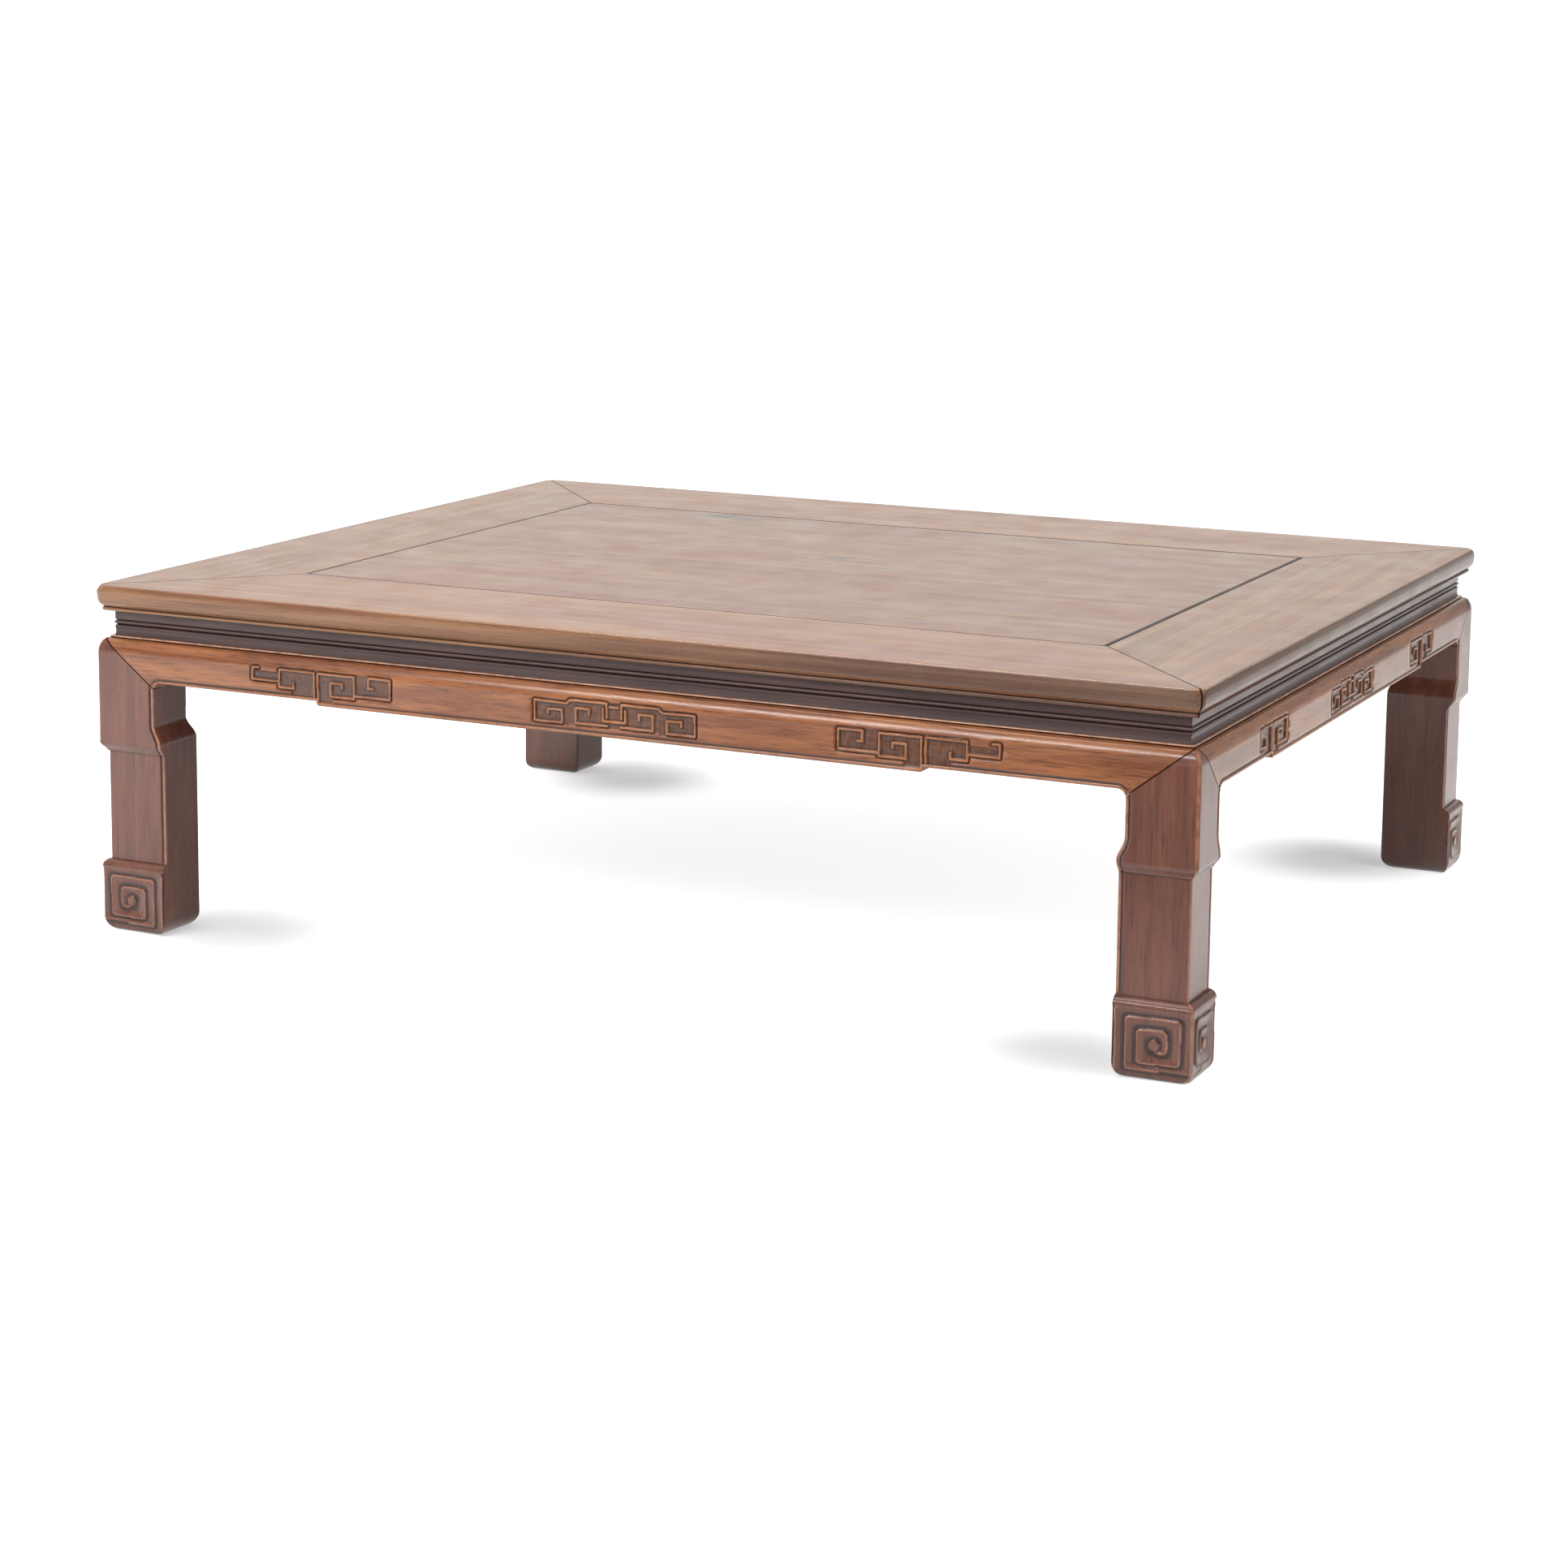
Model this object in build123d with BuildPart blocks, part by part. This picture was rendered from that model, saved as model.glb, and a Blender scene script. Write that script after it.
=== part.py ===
from build123d import *
import os

# Kang table: a low table with a mitred, floating-panel top, a recessed waist, carved aprons
# mitred to square legs, and carved scroll feet. Millimetres, +Z up. The origin is on the
# floor under the middle of the top. X runs along the long sides, and the front is at -Y.
#
# Most sections are drawn as (inset, height) pairs: inset is measured inward from the
# outermost line of the top's edge, and height from the floor.

os.makedirs("parts", exist_ok=True)

# ---- Overall size
top_length = 1000.0
top_width = 797.0
table_height = 305.0
fit_clearance = 0.15          # slack round every tenon, tongue and key in its seat

# ---- Mitred frame of the top
frame_thickness = 22.5
stile_width = 138.0           # long members, front and back
rail_width = 126.0            # short members, left and right
arris_radius = 2.0
edge_upright = 9.5            # nearly upright part of the edge, below the arris
edge_swell = 0.5              # how far that part swells out in its middle
edge_return = 3.4             # how far the edge curls in under itself
edge_curl = 7.0               # height of that curl
quirk_inset = 5.8             # bottom of the small groove above the lip
lip_inset = 4.5
lip_height = 3.4
frame_tenon_width = 40.0      # tenon that joins each rail to a stile inside the mitre
frame_tenon_thickness = 6.0
frame_tenon_setback = 60.0    # from the rail's outer edge to its tenon
frame_tenon_stop = 25.0       # what the tenon leaves of the stile's outer edge
frame_tenon_lift = 6.0        # from the frame's underside up to the tenon

# ---- Floating panel and the battens under it
panel_thickness = 12.0
panel_gap = 0.9               # shadow line between the panel and the frame
tongue_thickness = 4.6
tongue_length = 8.0
tongue_drop = 5.4             # from the top face down to the tongue
groove_slack = 1.0            # room for the panel to swell at the groove's bottom
batten_spacing = 210.0
batten_count = 3
batten_width = 34.0
batten_depth = 15.0
batten_neck = 24.0            # dovetail in the panel, at its mouth
batten_flare = 2.0            # how much wider it is each side at its top
batten_dovetail = 3.6         # how deep it runs into the panel
batten_tenon_length = 12.0
batten_tenon_width = 22.0
batten_tenon_thickness = 5.0
batten_tenon_lift = 2.0       # from the frame's underside up to the tenon

# ---- Aprons
apron_thickness = 18.0
apron_inset = 1.2             # face of aprons, leg blocks and feet
apron_height = 32.5           # beside the legs
shoulder_inset = 8.3          # where the rounded shoulder meets the moulding above
shoulder_height = 12.5
shoulder_turn_in = 2.8        # point where its gentle curve gives way to a tighter one
shoulder_turn_up = 10.1
apron_drop = 4.0              # how much deeper the middle stretch is
front_step = 275.5            # from the middle to the step, long aprons
side_step = 220.0             # the same on the short aprons
step_radius = 1.6
corner_radius = 7.0           # turn of the lower edge into the leg
bead_width = 2.8              # raised bead along lower edges and the legs' inner edges
bead_quirk = 1.8              # shallow groove beside the bead
bead_relief = 0.9

# ---- Waist and the moulding under it
waist_inset = 12.8
waist_sweep = 0.9             # how far its lower half is hollowed
waist_flare = 0.6             # its bottom edge flares out again
bead_rise = 1.1               # the two beads along its middle
waist_bead_height = 3.2
waist_bead_drop = 9.1         # from the frame's underside to the top of the upper bead
waist_bead_gap = 0.6
waist_height = 22.0
torus_height = 4.2
torus_lip_inset = 10.4        # upper, smaller roll
torus_roll_inset = 8.3        # lower roll
inner_tongue_inset = 14.6     # tongues that lock waist, moulding, apron and frame together
inner_tongue_width = 3.4
inner_tongue_height = 2.2

# ---- Legs
leg_width = 58.2              # along X
leg_depth = 48.3              # along Y
leg_step = 6.3                # how far the shaft stands back from the block above it
block_height = 88.3           # from the moulding down to the ogee, on the outer faces
ogee_height = 9.5
inner_block_height = 69.3     # the same on the inner edges
inner_swing_height = 18.0
foot_top = 63.6
foot_round = 9.0              # soft bottom edges of the foot
mitre_drop = 4.8              # lowest point of the apron's mitre, below its lower edge
leg_tenon_height = 9.5
apron_tenon_depth = 12.0      # blade at each apron end, slid into the leg's shoulder
apron_tenon_thickness = 6.0
apron_tenon_inset = 8.4
apron_tenon_start = 24.0
apron_tenon_end_margin = 9.0

# ---- Carving
scroll_groove = 1.6           # spiral cut on the feet
scroll_depth = 1.8
scroll_start = 8.0            # height where the spiral leaves the foot's inner edge
scroll_margin = 9.7           # from the foot's inner edge to the first turn
scroll_outer = 10.8           # inset of the outermost turn
scroll_low = 14.0
scroll_high = 50.0
scroll_step = 9.5             # from one turn to the next, in height
fret_line = 2.2               # raised line of the frets
fret_ground = 2.2             # sunk ground beside it
fret_depth = 1.5
fret_margin = 8.9             # from the moulding down to the upper lines of all frets
fret_height = 18.4
fret_hook_drop = 10.4         # where the hooks curl back to
motif_shift = 6.5             # the middle motif of the long aprons sits this far to the right
side_motif_scale = 0.81       # the short aprons' middle motif is this much narrower

# ---- Dovetail keys behind the long aprons
key_width = 18.0
key_neck = 14.0
key_socket = 5.0              # depth of the dovetail in the apron's back
key_back = 9.0                # what stands behind the apron
key_drop = 2.8                # how far it shows under the apron
key_stop = 3.2                # what the blind socket leaves of the apron above it
key_tenon = 7.0
key_places = (-158.0, 184.0)

# ---- Levels and lines worked out from the sizes above
frame_low = table_height - frame_thickness
waist_low = frame_low - waist_height
apron_top = waist_low - torus_height
apron_low = apron_top - apron_height
mitre_low = apron_low - mitre_drop
shoulder_high = apron_top - block_height
shoulder_low = shoulder_high - ogee_height
inner_high = apron_top - inner_block_height
inner_low = inner_high - inner_swing_height
fret_top = apron_top - fret_margin
fret_hook = fret_top - fret_hook_drop
fret_low = fret_top - fret_height
key_low = apron_low - apron_drop - key_drop
half_length = top_length / 2
half_width = top_width / 2
apron_back = apron_inset + apron_thickness
inner_x = apron_inset + leg_width
inner_y = apron_inset + leg_depth
tongue_high = table_height - tongue_drop
tongue_low = tongue_high - tongue_thickness
panel_low = table_height - panel_thickness
long_tongue = half_length - inner_x
short_tongue = half_width - inner_y

# Section planes: local x runs outward from the middle of the table, local y runs up.
front_section = Plane(origin=(0, 0, 0), x_dir=(0, -1, 0), z_dir=(-1, 0, 0))
side_section = Plane(origin=(0, 0, 0), x_dir=(1, 0, 0), z_dir=(0, -1, 0))


def section_points(half_span, pairs):
    """(inset, height) pairs as a section's own (outward, height) points."""
    return [(half_span - inset, height) for inset, height in pairs]


def corner_place(inset_x, inset_y, height, x_side, y_side):
    """A point given by its insets from one corner of the top."""
    return Vector(x_side * (half_length - inset_x), y_side * (half_width - inset_y), height)


def frame_mitre(x_side, y_side):
    """Upright plane of one corner's mitre in the frame, facing the stile."""
    facing = Vector(-x_side * stile_width, y_side * rail_width, 0)
    return Plane(origin=corner_place(0, 0, 0, x_side, y_side), z_dir=facing)


def square_mitre(x_side, y_side):
    """Upright 45 degree plane at one corner, facing the long side's moulding."""
    facing = Vector(-x_side, y_side, 0)
    return Plane(origin=corner_place(0, 0, 0, x_side, y_side), z_dir=facing)


# ---- Mitred frame

def frame_section(half_span, member_width):
    """Section of a frame member: moulded edge outside, panel groove inside."""
    upright_low = table_height - arris_radius - edge_upright
    curl_low = upright_low - edge_curl
    lip_high = frame_low + lip_height
    groove_end = member_width - tongue_length - groove_slack
    slot_near = inner_tongue_inset - fit_clearance
    slot_far = inner_tongue_inset + inner_tongue_width + fit_clearance
    slot_high = frame_low + inner_tongue_height + fit_clearance
    at = lambda *pairs: section_points(half_span, pairs)
    with BuildLine() as outline:
        Polyline(at((member_width, table_height), (arris_radius, table_height)))
        RadiusArc(
            *at((arris_radius, table_height), (edge_swell, table_height - arris_radius)),
            arris_radius,
        )
        ThreePointArc(*at(
            (edge_swell, table_height - arris_radius),
            (0, (table_height - arris_radius + upright_low) / 2),
            (edge_swell, upright_low),
        ))
        TangentArc(*at((edge_swell, upright_low), (edge_return, curl_low)), tangent=(0, -1))
        Polyline(at((edge_return, curl_low), (quirk_inset, curl_low), (quirk_inset, lip_high)))
        ThreePointArc(*at(
            (quirk_inset, lip_high),
            (lip_inset, frame_low + lip_height / 2),
            (quirk_inset, frame_low),
        ))
        Polyline(at(
            (quirk_inset, frame_low),
            (slot_near, frame_low),
            (slot_near, slot_high),
            (slot_far, slot_high),
            (slot_far, frame_low),
            (member_width, frame_low),
            (member_width, tongue_low),
            (groove_end, tongue_low),
            (groove_end, tongue_high + fit_clearance),
            (member_width, tongue_high + fit_clearance),
            (member_width, table_height),
        ))
    make_face(outline.edges())


def block(low, high, mode=Mode.ADD):
    """A rectangular block between two opposite corners."""
    size = Vector(*high) - Vector(*low)
    centre = (Vector(*high) + Vector(*low)) * 0.5
    with Locations(centre):
        Box(abs(size.X), abs(size.Y), abs(size.Z), mode=mode)


def frame_tenon(x_side, y_side, slack, reach, mode):
    """Tenon of a rail in its stile, or with slack its mortise. It starts inside the rail."""
    block(
        corner_place(frame_tenon_setback - slack, frame_tenon_stop - slack,
                     frame_low + frame_tenon_lift - slack, x_side, y_side),
        corner_place(frame_tenon_setback + frame_tenon_width + slack, reach,
                     frame_low + frame_tenon_lift + frame_tenon_thickness + slack,
                     x_side, y_side),
        mode,
    )


leg_tenons = (
    # inset x from, to, inset y from, to: one into the stile, one into the rail
    (inner_x - 14.0, inner_x - 3.0, 28.0, 40.0),
    (26.0, 33.0, inner_y - 11.0, inner_y - 2.0),
)


def leg_tenon(which, x_side, y_side, slack, mode):
    """One of the two tenons on top of a leg, or with slack its mortise."""
    near_x, far_x, near_y, far_y = leg_tenons[which]
    block(
        corner_place(near_x - slack, near_y - slack, frame_low, x_side, y_side),
        corner_place(far_x + slack, far_y + slack, frame_low + leg_tenon_height + slack,
                     x_side, y_side),
        mode,
    )


def batten_places():
    """X of each batten."""
    first = -batten_spacing * (batten_count - 1) / 2
    return [first + batten_spacing * i for i in range(batten_count)]


def key_outline(slack):
    """Plan of a dovetail key, centred on its own place, with the table's outside at -y."""
    wide = key_width / 2 + slack
    neck = key_neck / 2 + slack
    socket_end = half_width - apron_back + key_socket + slack
    back_line = half_width - apron_back
    with BuildLine() as outline:
        Polyline(
            (-wide, -socket_end), (wide, -socket_end), (neck, -back_line),
            (key_width / 2, -back_line), (key_width / 2, -back_line + key_back),
            (-key_width / 2, -back_line + key_back), (-key_width / 2, -back_line),
            (-neck, -back_line), close=True,
        )
    make_face(outline.edges())


def key_tenon_block(x_place, slack, mode):
    """Tenon on top of a key, or with slack its mortise in the stile."""
    tenon_half = key_neck / 2 - 1.0
    block(
        (x_place - tenon_half - slack, -half_width + apron_back + 1.0 - slack, frame_low),
        (x_place + tenon_half + slack, -half_width + apron_back + key_back - 1.0 + slack,
         frame_low + key_tenon + slack),
        mode,
    )


def build_stile():
    with BuildPart() as stile:
        with BuildSketch(front_section):
            frame_section(half_width, stile_width)
        extrude(amount=half_length, both=True)
        for x_side in (-1, 1):
            split(bisect_by=frame_mitre(x_side, -1), keep=Keep.TOP)
            frame_tenon(x_side, -1, fit_clearance, stile_width, Mode.SUBTRACT)
            leg_tenon(0, x_side, -1, fit_clearance, Mode.SUBTRACT)
        for x_place in batten_places():
            block(
                (x_place - batten_tenon_width / 2 - fit_clearance,
                 -half_width + stile_width,
                 frame_low + batten_tenon_lift - fit_clearance),
                (x_place + batten_tenon_width / 2 + fit_clearance,
                 -half_width + stile_width - batten_tenon_length - fit_clearance,
                 frame_low + batten_tenon_lift + batten_tenon_thickness + fit_clearance),
                Mode.SUBTRACT,
            )
        for x_place in key_places:
            key_tenon_block(x_place, fit_clearance, Mode.SUBTRACT)
    return stile.part


def build_rail():
    with BuildPart() as rail:
        with BuildSketch(side_section):
            frame_section(half_length, rail_width)
        extrude(amount=half_width, both=True)
        for y_side in (-1, 1):
            split(bisect_by=frame_mitre(1, y_side), keep=Keep.BOTTOM)
            frame_tenon(1, y_side, 0, stile_width + 20.0, Mode.ADD)
            leg_tenon(1, 1, y_side, fit_clearance, Mode.SUBTRACT)
    return rail.part


# ---- Panel and battens

panel_half_x = half_length - rail_width - panel_gap
panel_half_y = half_width - stile_width - panel_gap


def batten_section(low, slack):
    """Dovetail of a batten above `low`, in a plane across the batten."""
    neck = batten_neck / 2 + slack
    top = panel_low + batten_dovetail + slack
    with BuildLine() as outline:
        Polyline(
            (-neck, low), (neck, low), (neck, panel_low), (neck + batten_flare, top),
            (-neck - batten_flare, top), (-neck, panel_low), close=True,
        )
    make_face(outline.edges())


with BuildPart() as centre_panel:
    block((-panel_half_x, -panel_half_y, panel_low), (panel_half_x, panel_half_y, table_height))
    block(
        (-panel_half_x - panel_gap - tongue_length, -panel_half_y - panel_gap - tongue_length,
         tongue_low),
        (panel_half_x + panel_gap + tongue_length, panel_half_y + panel_gap + tongue_length,
         tongue_high),
    )
    for x_place in batten_places():
        with BuildSketch(Plane.XZ.move(Location((x_place, 0, 0)))):
            batten_section(panel_low - 1.0, fit_clearance)
        extrude(amount=half_width, both=True, mode=Mode.SUBTRACT)
centre_panel.part.label = "centre_panel"


def build_batten(number, x_place):
    opening_half = half_width - stile_width
    with BuildPart() as batten:
        with BuildSketch(Plane.XZ.move(Location((x_place, 0, 0)))):
            batten_section(panel_low - batten_depth / 2, 0)
        extrude(amount=opening_half - fit_clearance, both=True)
        block(
            (x_place - batten_width / 2, -opening_half, panel_low - batten_depth),
            (x_place + batten_width / 2, opening_half, panel_low),
        )
        block(
            (x_place - batten_tenon_width / 2, -opening_half - batten_tenon_length,
             frame_low + batten_tenon_lift),
            (x_place + batten_tenon_width / 2, opening_half + batten_tenon_length,
             frame_low + batten_tenon_lift + batten_tenon_thickness),
        )
    batten.part.label = f"panel_batten_{number}"
    return batten.part


# ---- Waist and torus moulding: four mitred lengths of each

def waist_section(half_span):
    """Waist board: upright face with two fine beads, hollowed below them."""
    beads = []
    bead_top = frame_low - waist_bead_drop
    for _ in range(2):
        beads.append((bead_top, bead_top - waist_bead_height))
        bead_top -= waist_bead_height + waist_bead_gap
    hollow = waist_inset + waist_sweep
    at = lambda *pairs: section_points(half_span, pairs)
    with BuildLine() as outline:
        Polyline(at((apron_back, frame_low), (waist_inset, frame_low), (waist_inset, beads[0][0])))
        for high, low in beads:
            ThreePointArc(*at(
                (waist_inset, high), (waist_inset - bead_rise, (high + low) / 2),
                (waist_inset, low),
            ))
        Line(*at((waist_inset, beads[0][1]), (waist_inset, beads[1][0])))
        ThreePointArc(*at(
            (waist_inset, beads[1][1]), (hollow, (beads[1][1] + waist_low) / 2),
            (waist_inset - waist_flare, waist_low),
        ))
        Polyline(at((waist_inset - waist_flare, waist_low), (apron_back, waist_low),
                    (apron_back, frame_low)))
    make_face(outline.edges())


def torus_section(half_span):
    """Thin double roll between waist and apron."""
    step = (apron_top + waist_low) / 2
    at = lambda *pairs: section_points(half_span, pairs)
    with BuildLine() as outline:
        Polyline(at((apron_back, waist_low), (torus_lip_inset + 0.9, waist_low)))
        ThreePointArc(*at(
            (torus_lip_inset + 0.9, waist_low), (torus_lip_inset, (waist_low + step) / 2),
            (torus_lip_inset + 0.9, step),
        ))
        Line(*at((torus_lip_inset + 0.9, step), (torus_roll_inset + 0.9, step)))
        ThreePointArc(*at(
            (torus_roll_inset + 0.9, step), (torus_roll_inset, (apron_top + step) / 2),
            (torus_roll_inset + 0.9, apron_top),
        ))
        Polyline(at((torus_roll_inset + 0.9, apron_top), (apron_back, apron_top),
                    (apron_back, waist_low)))
    make_face(outline.edges())


def inner_tongue(half_span, half_run, low, high, slack, mode):
    """Straight tongue, or with slack its groove, drawn in the current section."""
    near = inner_tongue_inset - slack
    far = inner_tongue_inset + inner_tongue_width + slack
    with BuildSketch(front_section if half_span == half_width else side_section) as tongue:
        with BuildLine() as outline:
            Polyline(section_points(half_span, (
                (near, low), (far, low), (far, high), (near, high),
            )), close=True)
        make_face(outline.edges())
    extrude(tongue.sketch, amount=half_run + slack, both=True, mode=mode)


def build_length(draw_section, low, high, long_side):
    """One mitred length of waist or moulding: section, mitres, tongue below or above."""
    half_span = half_width if long_side else half_length
    half_run = half_length if long_side else half_width
    tongue_run = long_tongue if long_side else short_tongue
    with BuildPart() as length:
        with BuildSketch(front_section if long_side else side_section):
            draw_section(half_span)
        extrude(amount=half_run, both=True)
        for end in (-1, 1):
            mitre = square_mitre(end, -1) if long_side else square_mitre(1, end)
            split(bisect_by=mitre, keep=Keep.TOP if long_side else Keep.BOTTOM)
        inner_tongue(half_span, tongue_run, low - inner_tongue_height, low + 1.0, 0, Mode.ADD)
        if draw_section is waist_section:
            inner_tongue(half_span, tongue_run, high - 1.0, high + inner_tongue_height,
                         0, Mode.ADD)
        else:
            inner_tongue(half_span, tongue_run, high - inner_tongue_height - fit_clearance,
                         high + 1.0, fit_clearance, Mode.SUBTRACT)
    return length.part


# ---- Outlines shared by aprons and legs

def opening_outline(half_span, inner, step, grow=0):
    """The open shape between two legs, under the apron; grow moves its edge into the wood."""
    shaft = half_span - inner - leg_step + grow
    jamb = half_span - inner + grow
    high = apron_low + grow
    middle = high - apron_drop
    turn = corner_radius + grow
    edge = step - grow
    ease = min(step_radius + grow, apron_drop * 0.8)
    with BuildLine() as outline:
        Line((0, -20), (shaft, -20))
        Line((shaft, -20), (shaft, inner_low))
        lower = TangentArc(
            (shaft, inner_low), ((shaft + jamb) / 2, (inner_low + inner_high) / 2),
            tangent=(0, 1),
        )
        TangentArc(lower @ 1, (jamb, inner_high), tangent=lower % 1)
        Line((jamb, inner_high), (jamb, high - turn))
        TangentArc((jamb, high - turn), (jamb - turn, high), tangent=(0, 1))
        Line((jamb - turn, high), (edge + ease, high))
        TangentArc((edge + ease, high), (edge, high - ease), tangent=(-1, 0))
        Line((edge, high - ease), (edge, middle))
        Line((edge, middle), (0, middle))
        mirror(about=Plane.YZ)
    make_face(outline.edges())


def bead_quirk_cut(face_plane, half_span, inner, step, low):
    """Cut the quirk that leaves the bead standing along the opening, down to height low."""
    with BuildSketch(face_plane.offset(-bead_relief)) as wide:
        opening_outline(half_span, inner, step, bead_width + bead_quirk)
        with BuildLine() as outline:
            Polyline((-half_span, -30), (half_span, -30), (half_span, low), (-half_span, low),
                     close=True)
        make_face(outline.edges(), mode=Mode.SUBTRACT)
    with BuildSketch(face_plane.offset(-bead_relief)) as narrow:
        opening_outline(half_span, inner, step, bead_width)
    extrude(wide.sketch - narrow.sketch, amount=20, mode=Mode.SUBTRACT)


long_face = Plane.XZ.offset(half_width - apron_inset)
short_face = Plane.YZ.offset(half_length - apron_inset)


def apron_mitre(x_side, y_side, long_side):
    """Sloping plane between apron and leg, facing the apron."""
    rise = apron_top - mitre_low
    if long_side:
        facing = Vector(-x_side * rise, 0, inner_x - shoulder_inset)
    else:
        facing = Vector(0, -y_side * rise, inner_y - shoulder_inset)
    return Plane(origin=corner_place(shoulder_inset, shoulder_inset, apron_top, x_side, y_side),
                 z_dir=facing)


def hidden_mitre(x_side, y_side):
    """Upright plane between the ends of a long and a short apron, facing the long one."""
    facing = Vector(-x_side * (inner_y - shoulder_inset), y_side * (inner_x - shoulder_inset), 0)
    return Plane(origin=corner_place(shoulder_inset, shoulder_inset, 0, x_side, y_side),
                 z_dir=facing)


def shoulder_line(half_span):
    """Lower end, turning point and upper end of the rounded shoulder."""
    low = apron_top - shoulder_height
    return section_points(half_span, (
        (apron_inset, low),
        (apron_inset + shoulder_turn_in, low + shoulder_turn_up),
        (shoulder_inset, apron_top),
    ))


def apron_section(half_span):
    """Flat face with a rounded shoulder above it."""
    start, turn, end = shoulder_line(half_span)
    at = lambda *pairs: section_points(half_span, pairs)
    with BuildLine() as outline:
        Polyline(at((shoulder_inset, apron_top), (apron_back, apron_top), (apron_back, mitre_low - 20),
                    (apron_inset, mitre_low - 20), (apron_inset, apron_top - shoulder_height)))
        gentle = TangentArc(start, turn, tangent=(0, 1))
        TangentArc(gentle @ 1, end, tangent=gentle % 1)
    make_face(outline.edges())


def apron_blade(x_side, y_side, long_side, slack, mode):
    """Blade tenon beyond the sloping mitre, or with slack its slot in the leg."""
    inner = inner_x if long_side else inner_y
    slope = (apron_top - mitre_low) / (inner - shoulder_inset)
    start = apron_tenon_start - slack
    end = inner - apron_tenon_end_margin + slack
    seam = lambda inset: apron_top - (inset - shoulder_inset) * slope
    deep = apron_tenon_depth + slack
    along = half_length if long_side else half_width
    corners = [
        (start, seam(start) + 1.0), (end, seam(end) + 1.0),
        (end, seam(end) - deep), (start, seam(start) - deep),
    ]
    near = apron_tenon_inset - slack
    far = apron_tenon_inset + apron_tenon_thickness + slack
    face = Plane.XZ.offset(half_width - far) if long_side else Plane.YZ.offset(half_length - far)
    side = x_side if long_side else y_side
    with BuildSketch(face) as blade:
        with BuildLine() as outline:
            Polyline([(side * (along - inset), height) for inset, height in corners], close=True)
        make_face(outline.edges())
    extrude(blade.sketch, amount=far - near, mode=mode)


# ---- Frets

def fret_paths(step, hook_out, hook_in):
    """Fret lines of one half of an apron, each a run of (distance from the middle, height)."""
    return [
        [(step + hook_in, fret_hook), (step + hook_in, fret_low + 3.3),
         (step + hook_out, fret_low + 3.3), (step + hook_out, fret_top),
         (step + 2.0, fret_top), (step + 2.0, apron_low + bead_width)],
        [(step - 25.5, fret_hook), (step - 25.5, fret_hook + 3.2), (step - 14.5, fret_hook + 3.2),
         (step - 14.5, fret_low), (step - 37.0, fret_low), (step - 37.0, fret_top),
         (step - 1.7, fret_top), (step - 1.7, apron_low - apron_drop + bead_width)],
    ]


def long_fret_paths(step):
    """Two more hooked lines on each half of the long aprons."""
    return [
        [(step + 37.5, fret_hook), (step + 63.5, fret_hook), (step + 63.5, fret_top),
         (step + 57.5, fret_top)],
        [(step - 55.5, fret_hook + 2.0), (step - 51.2, fret_hook + 2.0),
         (step - 51.2, fret_top), (step - 71.8, fret_top), (step - 71.8, fret_low + 2.5),
         (step - 38.0, fret_low + 2.5)],
    ]


def motif_paths(scale):
    """Half of the middle motif: a long hooked line, and a shorter one inside it."""
    outer = [(6.8, fret_hook - 1.0), (6.8, fret_top), (42.0, fret_top), (42.0, fret_top - 2.6),
             (72.8, fret_top - 2.6), (72.8, fret_low), (47.7, fret_low), (47.7, fret_hook + 1.6),
             (60.4, fret_hook + 1.6), (60.4, fret_hook - 2.0)]
    inner = [(22.6, fret_hook), (22.6, fret_hook + 4.4), (35.0, fret_hook + 4.4),
             (35.0, fret_low), (5.0, fret_low)]
    return [[(along * scale, height) for along, height in path] for path in (outer, inner)]


def bars(path, width, mode=Mode.ADD):
    """Straight bars of one width along a path."""
    for start, end in zip(path, path[1:]):
        with Locations(((start[0] + end[0]) / 2, (start[1] + end[1]) / 2)):
            Rectangle(abs(end[0] - start[0]) + width, abs(end[1] - start[1]) + width, mode=mode)


def cut_frets(face_plane, paths, motif, shift, step):
    """Sink a panel round each group of frets and leave their lines standing."""
    groups = [
        [[(side * along, height) for along, height in path] for path in paths]
        for side in (-1, 1)
    ]
    groups.append([
        [(side * along + shift, height) for along, height in path]
        for side in (-1, 1) for path in motif
    ])
    bead_top = apron_low + bead_width + bead_quirk
    with BuildSketch(face_plane) as ground:
        for group in groups:
            reach = [along for path in group for along, _ in path]
            low = min(height for path in group for _, height in path if height > bead_top)
            margin = fret_line / 2 + fret_ground
            left, right = min(reach) - margin, max(reach) + margin
            with Locations(((left + right) / 2, (low + fret_top) / 2)):
                Rectangle(right - left, fret_top - low + 2 * margin)
        for group in groups:
            for path in group:
                bars(path, fret_line, Mode.SUBTRACT)
        with Locations((0, apron_low - apron_drop)):
            Rectangle(2 * step, 2 * (bead_width + bead_quirk), mode=Mode.SUBTRACT)
        for side in (-1, 1):
            with Locations((side * (step + top_length / 2), apron_low)):
                Rectangle(top_length, 2 * (bead_width + bead_quirk), mode=Mode.SUBTRACT)
    extrude(ground.sketch, amount=-fret_depth, mode=Mode.SUBTRACT)


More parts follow.
